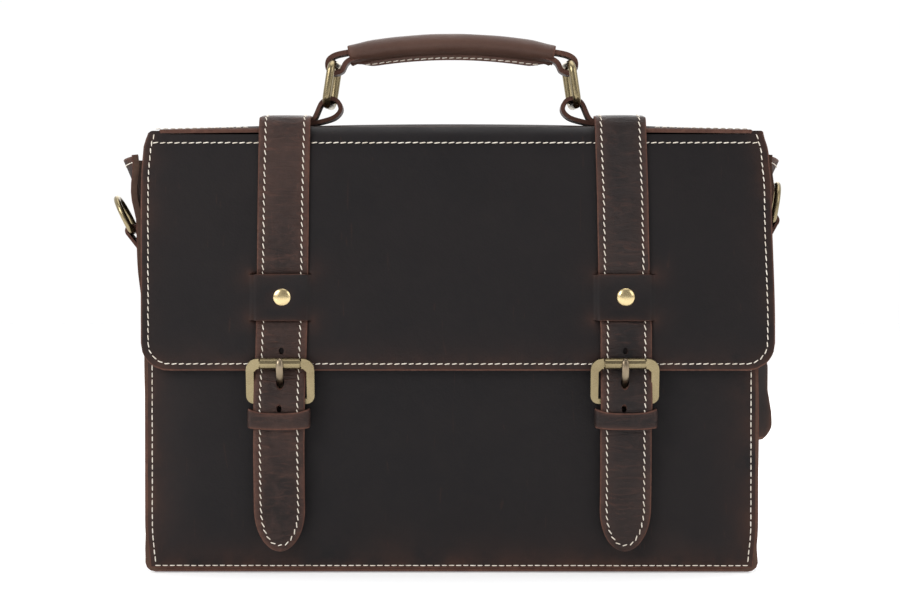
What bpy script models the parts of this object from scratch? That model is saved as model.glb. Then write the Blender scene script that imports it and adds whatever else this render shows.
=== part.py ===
"""Leather satchel bag: gusseted body, fold-over flap, two buckled straps and a top handle.

Frame: +X to the bag's left-hand side as its user faces the front (right in a front view),
-Y towards the front, +Z up.  The origin is the middle of the base, on the floor.
"""
import math

import bmesh
import bpy
from mathutils import Vector

# ---------------------------------------------------------------- driving dimensions (metres)
GAP = 0.0003                    # clearance between touching pieces
LEATHER = 0.0022                # panel and strap leather

BODY_HALF_WIDTH = 0.189
BODY_HALF_DEPTH = 0.045
PANEL_BOTTOM = 0.0015
FRONT_PANEL_TOP = 0.252
TOP_Z = 0.272                   # outer face of the top panel

GUSSET_HALF_WIDTH = 0.1855      # outer face of the side walls, inboard of the panel edges
GUSSET_TOP = 0.255
GUSSET_CORNER = 0.003
SIDE_BULGE = 0.007              # how far the side walls belly out above mid height
WING_FLARE = 0.0140             # further flare of their free top ends

LINING = 0.0008
BOARD = 0.0025
DIVIDER = 0.003

FLAP_SHIFT = 0.003              # the flap is sewn on a little off centre
FLAP_HALF_WIDTH = 0.1933
FLAP_BOTTOM = 0.1245
FLAP_CORNER = 0.017
FLAP_BACK_Y = -0.0488
FLAP_FRONT_Y = FLAP_BACK_Y - LEATHER
UPPER_SLIT_Z = 0.1836
LOWER_SLIT_Z = 0.155
RIVET_Z = 0.1696

STRAP_X = {"left": -0.1045, "right": 0.1058}
STRAP_HALF_WIDTH = 0.0157
STRAP_ON_FLAP_Y = FLAP_FRONT_Y - GAP - LEATHER / 2
STRAP_BEHIND_Y = FLAP_BACK_Y + GAP + LEATHER / 2
STRAP_TIP_Z = 0.014
STRAP_HOLE_PITCH = 0.0177
PRONG_HOLE_Z = 0.1155

BAR_Y, BAR_Z = -0.0525, 0.1062          # buckle's lower bar, in the chape
ROLLER_Y, ROLLER_Z = -0.0573, 0.1291    # buckle's upper bar, in the roller
BUCKLE_HALF_WIDTH = 0.0209
BUCKLE_BAR = 0.0034
ROLLER_RADIUS = 0.0035
ROLLER_LENGTH = 0.0248
CHAPE_LEATHER = 0.0017

HANDLE_END_X, HANDLE_END_Z = 0.0648, 0.3222
HANDLE_RISE = 0.0065
HANDLE_WIDTH, HANDLE_HEIGHT = 0.020, 0.0136
HANDLE_WALL = 0.0018

RING_WIRE = 0.0023
RING_LENGTH = 0.026             # between the centres of its two short bars
RING_WIDTH = 0.026              # between the centres of its two long bars
RING_YAW = math.radians(7)
RING_FOOT_X, RING_FOOT_Z = 0.0775, 0.2903
RING_LEAN = math.radians(8.6)

D_WIRE = 0.002
D_HEIGHT = 0.023
D_HALF_WIDTH = 0.014
D_BAR = {"left": (-0.2010, 0.211), "right": (0.2016, 0.2175)}
# Heights down the D-ring tabs, with how far the loose end of the right one stands off there
TAB_LINE = ((0.195, 0.0), (0.175, 0.0), (0.160, 0.0), (0.150, 0.0025), (0.138, 0.0085), (0.125, 0.0125),
            (0.110, 0.0130), (0.096, 0.0145), (0.086, 0.0155), (0.079, 0.0135))
D_LEAN = {"left": math.radians(-27), "right": math.radians(10)}

SNAP_Z = 0.080
SNAP_RADIUS = 0.007

SIDES = {"left": -1, "right": 1}
XZ_PLANE = (math.pi / 2, 0, 0)              # outline x, y -> world x, z
YZ_PLANE = (math.pi / 2, 0, math.pi / 2)    # outline x, y -> world y, z

# colour, roughness, metallic
FINISHES = {
    "dark_leather": ((0.028, 0.022, 0.020), 0.55, 0.0),
    "strap_leather": ((0.050, 0.026, 0.020), 0.50, 0.0),
    "handle_leather": ((0.105, 0.052, 0.038), 0.55, 0.0),
    "lining_cloth": ((0.120, 0.085, 0.055), 0.90, 0.0),
    "board": ((0.210, 0.170, 0.120), 0.90, 0.0),
    "brass": ((0.520, 0.430, 0.240), 0.32, 1.0),
    "bright_brass": ((0.640, 0.520, 0.270), 0.22, 1.0),
}


# ---------------------------------------------------------------- scene helpers
def clear_scene():
    for old in list(bpy.data.objects):
        bpy.data.objects.remove(old, do_unlink=True)


def new_collection(name):
    group = bpy.data.collections.new(name)
    bpy.context.scene.collection.children.link(group)
    return group


def finish(obj, kind):
    """Give the object its own Principled material of one kind."""
    colour, roughness, metallic = FINISHES[kind]
    mat = bpy.data.materials.new(obj.name + "_" + kind)
    mat.use_nodes = True
    shader = mat.node_tree.nodes["Principled BSDF"]
    shader.inputs["Base Color"].default_value = (*colour, 1.0)
    shader.inputs["Roughness"].default_value = roughness
    shader.inputs["Metallic"].default_value = metallic
    mat.diffuse_color = (*colour, 1.0)
    obj.data.materials.clear()
    obj.data.materials.append(mat)
    return obj


def add_mesh(name, bm, group):
    bmesh.ops.recalc_face_normals(bm, faces=bm.faces)
    mesh = bpy.data.meshes.new(name)
    bm.to_mesh(mesh)
    bm.free()
    obj = bpy.data.objects.new(name, mesh)
    group.objects.link(obj)
    return obj


def smooth(obj, angle=math.radians(40)):
    obj.data.shade_smooth()
    obj.data.set_sharp_from_angle(angle=angle)


def pivot(name, group, location, parent=None):
    """An empty that lies on a joint's axis; moving pieces hang from it."""
    empty = bpy.data.objects.new(name, None)
    empty.empty_display_size = 0.01
    empty.location = location
    group.objects.link(empty)
    if parent is not None:
        bpy.context.view_layer.update()
        attach(empty, parent)
    bpy.context.view_layer.update()
    return empty


def attach(obj, parent):
    """Parent an object and leave it where it stands."""
    obj.parent = parent
    obj.matrix_parent_inverse = parent.matrix_world.inverted()


def make_mesh(obj, group):
    """Turn a curve object into a welded mesh object of the same name."""
    bpy.context.view_layer.update()
    evaluated = obj.evaluated_get(bpy.context.evaluated_depsgraph_get())
    mesh = bpy.data.meshes.new_from_object(evaluated)
    bm = bmesh.new()
    bm.from_mesh(mesh)
    bmesh.ops.remove_doubles(bm, verts=bm.verts, dist=0.00001)
    bm.to_mesh(mesh)
    bm.free()
    name, place = obj.name, obj.matrix_world.copy()
    bpy.data.objects.remove(obj, do_unlink=True)
    solid = bpy.data.objects.new(name, mesh)
    mesh.name = name
    solid.matrix_world = place
    group.objects.link(solid)
    return solid


# ---------------------------------------------------------------- shape helpers
def arc(centre, radius, start, end, steps):
    """Points on a circle, angles in degrees."""
    points = []
    for i in range(steps + 1):
        angle = math.radians(start + (end - start) * i / steps)
        points.append((centre[0] + radius * math.cos(angle), centre[1] + radius * math.sin(angle)))
    return points


def rounded_rectangle(half_x, half_y, radius, steps=4, centre=(0, 0)):
    points = []
    corners = ((1, 1, 0), (-1, 1, 90), (-1, -1, 180), (1, -1, 270))
    for sign_x, sign_y, start in corners:
        middle = (centre[0] + sign_x * (half_x - radius), centre[1] + sign_y * (half_y - radius))
        points += arc(middle, radius, start, start + 90, steps)
    return points


def plate(name, group, loops, thickness, location, rotation):
    """A flat outline with holes, extruded evenly about its plane."""
    curve = bpy.data.curves.new(name, "CURVE")
    curve.dimensions = "2D"
    curve.fill_mode = "BOTH"
    curve.extrude = thickness / 2
    for loop in loops:
        spline = curve.splines.new("POLY")
        spline.points.add(len(loop) - 1)
        for point, (u, v) in zip(spline.points, loop):
            point.co = (u, v, 0, 1)
        spline.use_cyclic_u = True
    obj = bpy.data.objects.new(name, curve)
    obj.location = location
    obj.rotation_euler = rotation
    group.objects.link(obj)
    return obj


def wire(name, group, points, radius, location, rotation=(0, 0, 0)):
    """A closed loop of round wire."""
    curve = bpy.data.curves.new(name, "CURVE")
    curve.dimensions = "3D"
    curve.bevel_depth = radius
    curve.bevel_resolution = 3
    spline = curve.splines.new("POLY")
    spline.points.add(len(points) - 1)
    for point, co in zip(spline.points, points):
        point.co = (*co, 1)
    spline.use_cyclic_u = True
    obj = bpy.data.objects.new(name, curve)
    obj.location = location
    obj.rotation_euler = rotation
    group.objects.link(obj)
    return obj


def loft(rows, closed_rows=False):
    """A surface through rows of points that have equal counts."""
    bm = bmesh.new()
    grid = [[bm.verts.new(point) for point in row] for row in rows]
    count = len(rows[0])
    for lower, upper in zip(grid, grid[1:]):
        for j in range(count if closed_rows else count - 1):
            k = (j + 1) % count
            bm.faces.new((lower[j], lower[k], upper[k], upper[j]))
    return bm


def solidify(obj, thickness, offset=0.0):
    shell = obj.modifiers.new("thickness", "SOLIDIFY")
    shell.thickness = thickness
    shell.offset = offset
    shell.use_even_offset = True
    return shell


def bevel(obj, width, segments=2):
    edge = obj.modifiers.new("rounded edges", "BEVEL")
    edge.width = width
    edge.segments = segments
    edge.limit_method = "ANGLE"
    edge.angle_limit = math.radians(40)
    return edge


def cut(obj, cutter):
    hole = obj.modifiers.new("cut " + cutter.name, "BOOLEAN")
    hole.operation = "DIFFERENCE"
    hole.object = cutter


def as_cutter(obj):
    obj.hide_render = True
    obj.display_type = "WIRE"
    return obj


def strap_run(name, group, x_middle, path, half_widths):
    """A run of strap leather: a strip whose middle line follows (y, z) points."""
    rows = []
    for (y, z), half in zip(path, half_widths):
        rows.append([(x_middle - half, y, z), (x_middle + half, y, z)])
    obj = add_mesh(name, loft(rows), group)
    solidify(obj, LEATHER)
    return finish(obj, "strap_leather")


def turned(name, group, profile, location, steps=24):
    """Turn a profile of (radius, height), listed top to bottom, about local Z."""
    mesh = bpy.data.meshes.new(name)
    edges = [(i, i + 1) for i in range(len(profile) - 1)]
    mesh.from_pydata([(radius, 0, height) for radius, height in profile], edges, [])
    obj = bpy.data.objects.new(name, mesh)
    screw = obj.modifiers.new("turn", "SCREW")
    screw.steps = steps
    screw.render_steps = steps
    screw.use_merge_vertices = True
    screw.merge_threshold = 0.00001
    screw.use_smooth_shade = True
    obj.location = location
    obj.rotation_euler = XZ_PLANE
    group.objects.link(obj)
    return obj


# ---------------------------------------------------------------- body of the bag
def side_bulge(z):
    """How far the side wall stands out of its plane at its middle, at height z."""
    t = min(max((z - 0.120) / 0.095, 0.0), 1.0)
    belly = SIDE_BULGE * t * t * (3 - 2 * t)
    flare = WING_FLARE * max((z - 0.215) / 0.040, 0.0) ** 1.3
    return belly + flare


def panel(name, group, y_outer, y_inner, top):
    outline = [(-BODY_HALF_WIDTH, top)]
    outline += arc((-BODY_HALF_WIDTH + 0.005, PANEL_BOTTOM + 0.005), 0.005, 180, 270, 4)
    outline += arc((BODY_HALF_WIDTH - 0.005, PANEL_BOTTOM + 0.005), 0.005, 270, 360, 4)
    outline += [(BODY_HALF_WIDTH, top)]
    place = (0, (y_outer + y_inner) / 2, 0)
    return finish(plate(name, group, [outline], LEATHER, place, XZ_PLANE), "dark_leather")


def gusset(group):
    """One strip of leather: up one side, across the base and up the other."""
    depth = BODY_HALF_DEPTH - LEATHER - GAP
    half = GUSSET_HALF_WIDTH
    heights = [GUSSET_TOP, 0.245, 0.233, 0.215, 0.19, 0.165, 0.14, 0.12, 0.06]
    path = [(-half, z, -1, 0, side_bulge(z)) for z in heights]
    for sign, start in ((-1, 180), (1, 270)):
        middle = (sign * (half - GUSSET_CORNER), GUSSET_CORNER)
        for angle in range(start, start + 91, 18):
            normal = (math.cos(math.radians(angle)), math.sin(math.radians(angle)))
            x = middle[0] + GUSSET_CORNER * normal[0]
            z = middle[1] + GUSSET_CORNER * normal[1]
            path.append((x, z, *normal, 0.0))
    path += [(half, z, 1, 0, side_bulge(z)) for z in reversed(heights)]
    rows = []
    for x, z, normal_x, normal_z, bulge in path:
        row = []
        for fraction in (-1, -0.6, -0.2, 0.2, 0.6, 1):
            out = bulge * (1 - fraction * fraction)
            row.append((x + out * normal_x, fraction * depth, z + out * normal_z))
        rows.append(row)
    obj = add_mesh("gusset", loft(rows), group)
    for polygon in obj.data.polygons:
        polygon.use_smooth = True
    inward = solidify(obj, LEATHER, -1.0)
    inward.use_even_offset = False
    return finish(obj, "dark_leather")


def open_box(name, group, half_x, half_y, bottom, top, wall):
    bm = bmesh.new()
    bmesh.ops.create_cube(bm, size=1.0)
    bmesh.ops.scale(bm, vec=(2 * half_x, 2 * half_y, top - bottom), verts=bm.verts)
    bmesh.ops.translate(bm, vec=(0, 0, (top + bottom) / 2), verts=bm.verts)
    lid = [face for face in bm.faces if face.normal.z > 0.9]
    bmesh.ops.delete(bm, geom=lid, context="FACES")
    obj = add_mesh(name, bm, group)
    solidify(obj, wall, -1.0)
    return finish(obj, "lining_cloth")


def board(name, group, half_size, centre, kind):
    bpy.ops.mesh.primitive_cube_add(size=1.0)
    obj = bpy.context.object
    obj.name = name
    obj.data.name = name
    for vertex in obj.data.vertices:
        vertex.co = Vector([2 * half * value for half, value in zip(half_size, vertex.co)])
    obj.location = centre
    for owner in list(obj.users_collection):
        owner.objects.unlink(obj)
    group.objects.link(obj)
    return finish(obj, kind)


def d_ring_tab(side, group):
    """A leather tab folded round the D-ring's bar and sewn down the gusset."""
    sign = SIDES[side]
    bar_x, bar_z = abs(D_BAR[side][0]), D_BAR[side][1]
    hole = 0.0025
    skin = 0.0018
    middle = (bar_x, bar_z)
    outer = arc(middle, hole + skin, -60, 180, 14)
    inner = arc(middle, hole, 0, 342, 18)
    lower = []
    upper = []
    for z, stand_off in TAB_LINE:
        lift = stand_off if side == "right" else 0.0
        x = GUSSET_HALF_WIDTH + side_bulge(z) + GAP + lift
        lower.append((x, z))
        upper.append((x + skin, z))
    outline = outer + lower + upper[::-1]
    loops = [[(sign * x, z) for x, z in loop] for loop in (outline, inner)]
    return finish(plate("d_ring_tab_" + side, group, loops, 0.022, (0, 0, 0), XZ_PLANE), "strap_leather")


def d_ring(side, group, body_pivot):
    points = [(0, -D_HALF_WIDTH + 0.003, 0), (0, D_HALF_WIDTH - 0.003, 0)]
    points += [(0, u, v) for u, v in arc((D_HALF_WIDTH - 0.003, 0.003), 0.003, -60, 0, 2)]
    points += [(0, u, v) for u, v in arc((0, D_HEIGHT - D_HALF_WIDTH), D_HALF_WIDTH, 0, 180, 16)]
    points += [(0, u, v) for u, v in arc((-D_HALF_WIDTH + 0.003, 0.003), 0.003, 180, 240, 2)]
    x, z = D_BAR[side]
    axis = pivot("d_ring_axis_" + side, group, (x, 0, z), body_pivot)
    obj = wire("d_ring_" + side, group, points, D_WIRE, (x, 0, z), (0, D_LEAN[side], 0))
    bpy.context.view_layer.update()
    attach(obj, axis)
    return finish(obj, "brass")


def snap_half(name, group, x, y_middle, thickness):
    half = thickness / 2
    profile = [(0, half), (SNAP_RADIUS - 0.0004, half), (SNAP_RADIUS, half - 0.0004)]
    profile += [(SNAP_RADIUS, -half), (0, -half)]
    return finish(turned(name, group, profile, (x, y_middle, SNAP_Z)), "brass")


def strap_back(side, group):
    path = [(BODY_HALF_DEPTH + GAP + LEATHER / 2, z) for z in (0.268, 0.206, 0.196, 0.190)]
    halves = [STRAP_HALF_WIDTH, STRAP_HALF_WIDTH, 0.0125, 0.006]
    return strap_run("strap_back_" + side, group, STRAP_X[side], path, halves)


def body(group):
    depth = BODY_HALF_DEPTH
    panel("front_panel", group, -depth, -depth + LEATHER, FRONT_PANEL_TOP)
    panel("back_panel", group, depth, depth - LEATHER, TOP_Z - LEATHER - 2 * GAP)
    gusset(group)
    inside_x = GUSSET_HALF_WIDTH - LEATHER - 2 * GAP
    inside_y = depth - LEATHER - GAP
    open_box("lining", group, inside_x, inside_y, 0.003, 0.246, LINING)
    board_bottom = 0.003 + LINING + GAP
    board_middle = (0, 0, board_bottom + BOARD / 2)
    board("base_board", group, (0.176, 0.0395, BOARD / 2), board_middle, "board")
    divider_bottom = board_bottom + BOARD + GAP
    divider_middle = (0, 0.010, (divider_bottom + 0.215) / 2)
    divider_half = (0.176, DIVIDER / 2, (0.215 - divider_bottom) / 2)
    board("divider", group, divider_half, divider_middle, "lining_cloth")
    frame = pivot("body_frame", group, (0, 0, 0))
    for side in SIDES:
        d_ring_tab(side, group)
        d_ring(side, group, frame)
        strap_back(side, group)
        snap_half("snap_socket_" + side, group, STRAP_X[side], -depth - GAP - 0.001, 0.002)
    return frame


# ---------------------------------------------------------------- top panel and handle
def top_panel(group):
    front, back = -FLAP_FRONT_Y - 0.0002, BODY_HALF_DEPTH
    half = 0.186
    outline = [(half, back), (-half, back), (-half, -front + 0.006)]
    outline += arc((-half + 0.006, -front + 0.006), 0.006, 180, 270, 3)[1:]
    outline += arc((half - 0.006, -front + 0.006), 0.006, 270, 360, 3)
    place = (FLAP_SHIFT / 2, 0, TOP_Z - LEATHER / 2)
    return finish(plate("top_panel", group, [outline], LEATHER, place, (0, 0, 0)), "dark_leather")


def teardrop(group, name, hole_centre, hole, skin, arc_range, tail, width, kind):
    """A leather loop seen from its edge: an eye, with the doubled tail it is sewn by."""
    outer = arc(hole_centre, hole + skin, *arc_range, 14)
    inner = arc(hole_centre, hole, 0, 342, 18)
    return finish(plate(name, group, [outer + tail, inner], width, (0, 0, 0), XZ_PLANE), kind)


def handle_anchor(side, group):
    sign = SIDES[side]
    floor = TOP_Z + GAP
    inner_x = RING_FOOT_X - 0.0003
    tail = [(-0.0876, floor + 0.0029), (-0.119, floor + 0.0029), (-0.119, floor), (-0.084, floor)]
    tail = [(-sign * x, z) for x, z in tail]
    centre = (sign * inner_x, RING_FOOT_Z - 0.0022)
    sweep = (-100, 125) if side == "left" else (280, 55)
    name = "handle_anchor_" + side
    return teardrop(group, name, centre, 0.0057, 0.0020, sweep, tail, 0.018, "strap_leather")


def ring_top(side):
    sign = SIDES[side]
    x = sign * (RING_FOOT_X - RING_LENGTH * math.sin(RING_LEAN))
    return x, RING_FOOT_Z + RING_LENGTH * math.cos(RING_LEAN)


def handle_ring(side, group, parent):
    sign = SIDES[side]
    half = RING_WIDTH / 2
    outline = rounded_rectangle(half, RING_LENGTH / 2, 0.006, 4, (0, RING_LENGTH / 2))
    points = [(0, u, v) for u, v in outline]
    foot = (sign * RING_FOOT_X, 0, RING_FOOT_Z)
    axis = pivot("handle_ring_axis_" + side, group, foot, parent)
    turn = (0, -sign * RING_LEAN, sign * RING_YAW)
    obj = wire("handle_ring_" + side, group, points, RING_WIRE, foot, turn)
    bpy.context.view_layer.update()
    attach(obj, axis)
    finish(obj, "brass")
    return axis


def grip_section(x, half_width, half_height, count=20):
    """An oval section of the arched grip, square to its arc."""
    radius = (HANDLE_END_X ** 2 + HANDLE_RISE ** 2) / (2 * HANDLE_RISE)
    angle = math.asin(x / radius)
    centre_z = HANDLE_END_Z + HANDLE_RISE - radius * (1 - math.cos(angle))
    row = []
    for i in range(count):
        turn = 2 * math.pi * i / count
        up = half_height * math.sin(turn)
        row.append((x + up * math.sin(angle), half_width * math.cos(turn), centre_z + up * math.cos(angle)))
    return row


def handle(group, axis):
    half_width, half_height = HANDLE_WIDTH / 2, HANDLE_HEIGHT / 2
    stations = [HANDLE_END_X * i / 6 for i in range(-6, 7)]
    rows = [grip_section(x, half_width, half_height) for x in stations]
    cover = add_mesh("handle_cover", loft(rows, closed_rows=True), group)
    smooth(cover)
    solidify(cover, HANDLE_WALL, -1.0)
    finish(cover, "handle_leather")
    clear = HANDLE_WALL + GAP
    rows = [grip_section(x * 0.80, half_width - clear, half_height - clear) for x in stations]
    bm = loft(rows, closed_rows=True)
    bmesh.ops.holes_fill(bm, edges=bm.edges)
    core = add_mesh("handle_core", bm, group)
    finish(core, "board")
    pieces = [cover, core]
    for side, sign in SIDES.items():
        top_x, top_z = ring_top(side)
        centre = (top_x + sign * -0.001, top_z - 0.0010)
        tail = [(0.0540, 0.3230), (0.0542, 0.3257), (0.0670, 0.3230)]
        tail = [(sign * x, z) for x, z in tail]
        sweep = (55, -225) if side == "right" else (125, 405)
        name = "handle_loop_" + side
        loop = teardrop(group, name, centre, 0.0054, 0.0024, sweep, tail, 0.0144, "strap_leather")
        pieces.append(loop)
    bpy.context.view_layer.update()
    for piece in pieces:
        attach(piece, axis)


def strap_top(side, group):
    z = TOP_Z + 0.0046
    path = [(0.041, z), (-0.044, z)]
    halves = [STRAP_HALF_WIDTH] * 2
    return strap_run("strap_top_" + side, group, STRAP_X[side], path, halves)


def top(group, frame):
    axis = pivot("top_axis", group, (0, BODY_HALF_DEPTH, TOP_Z), frame)
    pieces = [top_panel(group)]
    stiffener_z = TOP_Z - LEATHER - GAP - BOARD / 2
    pieces.append(board("top_stiffener", group, (0.170, 0.037, BOARD / 2), (0, -0.001, stiffener_z), "board"))
    for side in SIDES:
        pieces.append(handle_anchor(side, group))
        pieces.append(strap_top(side, group))
    bpy.context.view_layer.update()
    for piece in pieces:
        attach(piece, axis)
    left_ring = handle_ring("left", group, axis)
    handle_ring("right", group, axis)
    top_x, top_z = ring_top("left")
    handle(group, pivot("handle_axis", group, (top_x, 0, top_z), left_ring))
    return axis


# ---------------------------------------------------------------- flap
def flap(group):
    bottom, half = FLAP_BOTTOM, FLAP_HALF_WIDTH
    outline = [(-half + 0.006, 0.2692), (-half + 0.002, 0.250)]
    outline += arc((-half + FLAP_CORNER, bottom + FLAP_CORNER), FLAP_CORNER, 180, 270, 6)
    outline += arc((half - FLAP_CORNER, bottom + FLAP_CORNER), FLAP_CORNER, 270, 360, 6)
    outline += [(half - 0.002, 0.250), (half - 0.006, 0.2692)]
    loops = [[(x + FLAP_SHIFT, z) for x, z in outline]]
    for x in STRAP_X.values():
        for slit_z in (UPPER_SLIT_Z, LOWER_SLIT_Z):
            loops.append(rounded_rectangle(STRAP_HALF_WIDTH + 0.0012, 0.0043, 0.001, 2, (x, slit_z)))
        loops.append(arc((x, RIVET_Z), 0.002, 0, 330, 11))
    place = (0, (FLAP_BACK_Y + FLAP_FRONT_Y) / 2, 0)
    return finish(plate("flap", group, loops, LEATHER, place, XZ_PLANE), "dark_leather")


def strap_flap(side, group, cutters):
    """The strap down the flap, in at the upper slit and out at the lower one."""
    front, behind = STRAP_ON_FLAP_Y, STRAP_BEHIND_Y
    path = [(front, 0.268), (front, UPPER_SLIT_Z + 0.0035), (behind, UPPER_SLIT_Z - 0.0035)]
    path += [(behind, LOWER_SLIT_Z + 0.0035), (front, LOWER_SLIT_Z - 0.0030), (front, 0.1518)]
    x = STRAP_X[side]
    obj = strap_run("strap_flap_" + side, group, x, path, [STRAP_HALF_WIDTH] * len(path))
    bpy.ops.mesh.primitive_cylinder_add(vertices=12, radius=0.002, depth=0.012, rotation=XZ_PLANE)
    drill = bpy.context.object
    drill.name = "rivet_drill_" + side
    drill.location = (x, behind, RIVET_Z)
    for owner in list(drill.users_collection):
        owner.objects.unlink(drill)
    cutters.objects.link(as_cutter(drill))
    cut(obj, drill)
    return obj


def rivet(side, group):
    """A domed cap whose post passes flap and strap, and the washer it is set on."""
    x = STRAP_X[side]
    dome = 0.0026
    head = 0.0053
    post = 0.0015
    seat = -FLAP_FRONT_Y + GAP
    tail = -STRAP_BEHIND_Y - LEATHER / 2 + 0.0001
    profile = []
    for i in range(7):
        angle = math.pi / 2 * (1 - i / 6)
        profile.append((head * math.cos(angle) if i else 0, seat + 0.0004 + dome * math.sin(angle)))
    profile += [(head, seat), (post, seat), (post, tail), (0, tail)]
    cap = finish(turned("rivet_cap_" + side, group, profile, (x, 0, RIVET_Z)), "bright_brass")
    washer_top = tail - 0.0003
    profile = [(0, washer_top), (0.0042, washer_top), (0.0045, washer_top - 0.0003)]
    profile += [(0.0045, washer_top - 0.0009), (0, washer_top - 0.0009)]
    base = finish(turned("rivet_base_" + side, group, profile, (x, 0, RIVET_Z)), "brass")
    return [cap, base]


# ---------------------------------------------------------------- strap tongues and buckles
def tongue_path():
    """Middle line of the buckled tongue, from the lower slit to its tip, with half widths."""
    front = STRAP_ON_FLAP_Y
    over_bar = BAR_Y - BUCKLE_BAR / 2 - 0.0009 - CHAPE_LEATHER - GAP - LEATHER / 2
    path = [(front, 0.1505), (front, 0.1265), (over_bar, BAR_Z + 0.0025), (over_bar, BAR_Z - 0.0020)]
    path += [(-0.0552, 0.1000), (-0.0538, 0.094), (-0.0533, 0.085), (-0.0533, 0.070), (-0.0515, 0.050)]
    halves = [STRAP_HALF_WIDTH] * len(path)
    taper_start = 0.0355
    for i in range(6):
        t = i / 5 * 0.975
        path.append((-0.0505, taper_start + (STRAP_TIP_Z - taper_start) * t))
        halves.append(STRAP_HALF_WIDTH * (1 - t ** 1.7))
    return path, halves


def strap_tongue(side, group, cutters):
    path, halves = tongue_path()
    x = STRAP_X[side]
    obj = strap_run("strap_tongue_" + side, group, x, path, halves)
    bm = bmesh.new()
    sizes = ((PRONG_HOLE_Z + 1.2 * STRAP_HOLE_PITCH, 0.0013, 0.002), (PRONG_HOLE_Z, 0.0030, 0.0061))
    sizes += ((PRONG_HOLE_Z - 0.87 * STRAP_HOLE_PITCH, 0.0013, 0.002),)
    for z, half_width, half_height in sizes:
        made = bmesh.ops.create_cube(bm, size=1.0)
        bmesh.ops.scale(bm, vec=(2 * half_width, 0.03, 2 * half_height), verts=made["verts"])
        bmesh.ops.translate(bm, vec=(x, -0.055, z), verts=made["verts"])
    punch = as_cutter(add_mesh("strap_punch_" + side, bm, cutters))
    cut(obj, punch)
    return obj


def chape(side, group, cutters):
    """The leather that holds the buckle: folded round its lower bar, slotted for the prong."""
    x = STRAP_X[side]
    hole = BUCKLE_BAR / 2 + 0.0009
    outer = arc((BAR_Y, BAR_Z), hole + CHAPE_LEATHER, -65, 245, 18)
    inner = arc((BAR_Y, BAR_Z), hole, 0, 340, 17)
    leg = [(-0.0521, 0.100), (-0.0516, 0.094), (-0.0516, 0.068), (-0.0499, 0.068), (-0.0499, 0.100)]
    outline = outer + leg
    obj = plate("chape_" + side, group, [outline, inner], 0.025, (x, 0, 0), YZ_PLANE)
    obj = finish(make_mesh(obj, group), "strap_leather")
    bm = bmesh.new()
    bmesh.ops.create_cube(bm, size=1.0)
    bmesh.ops.scale(bm, vec=(0.0056, 0.016, 0.0125), verts=bm.verts)
    bmesh.ops.translate(bm, vec=(x, BAR_Y, BAR_Z + 0.0018), verts=bm.verts)
    slot = as_cutter(add_mesh("prong_slot_" + side, bm, cutters))
    cut(obj, slot)
    return obj


def keeper(side, group):
    x = STRAP_X[side]
    near, far = -0.0495, -0.0571
    middle = (0, (near + far) / 2)
    half_y = (near - far) / 2
    inner = rounded_rectangle(0.0164, half_y, 0.0012, 2, middle)
    outer = rounded_rectangle(0.0191, half_y + 0.0014, 0.0022, 3, middle)
    return finish(plate("keeper_" + side, group, [outer, inner], 0.0114, (x, 0, 0.0943), (0, 0, 0)),
                  "strap_leather")


def buckle_lean():
    return math.atan2(BAR_Y - ROLLER_Y, ROLLER_Z - BAR_Z)


def buckle_frame(side, group):
    """A flat cast frame, drawn with its lower bar on the local origin."""
    height = math.hypot(ROLLER_Z - BAR_Z, ROLLER_Y - BAR_Y)
    half = BUCKLE_HALF_WIDTH
    bar = BUCKLE_BAR / 2
    inside = half - 0.0048
    collar = ROLLER_LENGTH / 2 + 0.0005
    top_edge = height + ROLLER_RADIUS - 0.0002
    outer = arc((half - 0.007, top_edge - 0.007), 0.007, 0, 90, 5)
    outer += [(collar, top_edge), (collar, height + bar), (-collar, height + bar), (-collar, top_edge)]
    outer += arc((-half + 0.007, top_edge - 0.007), 0.007, 90, 180, 5)
    outer += arc((-half + 0.005, -bar + 0.005), 0.005, 180, 270, 4)
    outer += arc((half - 0.005, -bar + 0.005), 0.005, 270, 360, 4)
    shoulder = height - ROLLER_RADIUS + 0.0004
    inner = [(inside, bar), (inside, shoulder - 0.002), (inside - 0.002, shoulder), (collar, shoulder)]
    inner += [(collar, height - bar), (-collar, height - bar), (-collar, shoulder)]
    inner += [(-inside + 0.002, shoulder), (-inside, shoulder - 0.002), (-inside, bar)]
    place = (STRAP_X[side], BAR_Y, BAR_Z)
    turn = (math.pi / 2 + buckle_lean(), 0, 0)
    obj = plate("buckle_frame_" + side, group, [outer, inner], BUCKLE_BAR - 0.0006, place, turn)
    obj = make_mesh(obj, group)
    bevel(obj, 0.0006)
    return finish(obj, "brass")


def roller(side, group):
    half = ROLLER_LENGTH / 2
    bore = 0.0025
    profile = [(bore, half), (ROLLER_RADIUS - 0.0003, half), (ROLLER_RADIUS, half - 0.0003)]
    profile += [(ROLLER_RADIUS, -half + 0.0003), (ROLLER_RADIUS - 0.0003, -half), (bore, -half), (bore, half)]
    obj = turned("roller_" + side, group, profile, (STRAP_X[side], ROLLER_Y, ROLLER_Z))
    obj.rotation_euler = (0, math.pi / 2, 0)
    return finish(obj, "brass")


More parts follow.
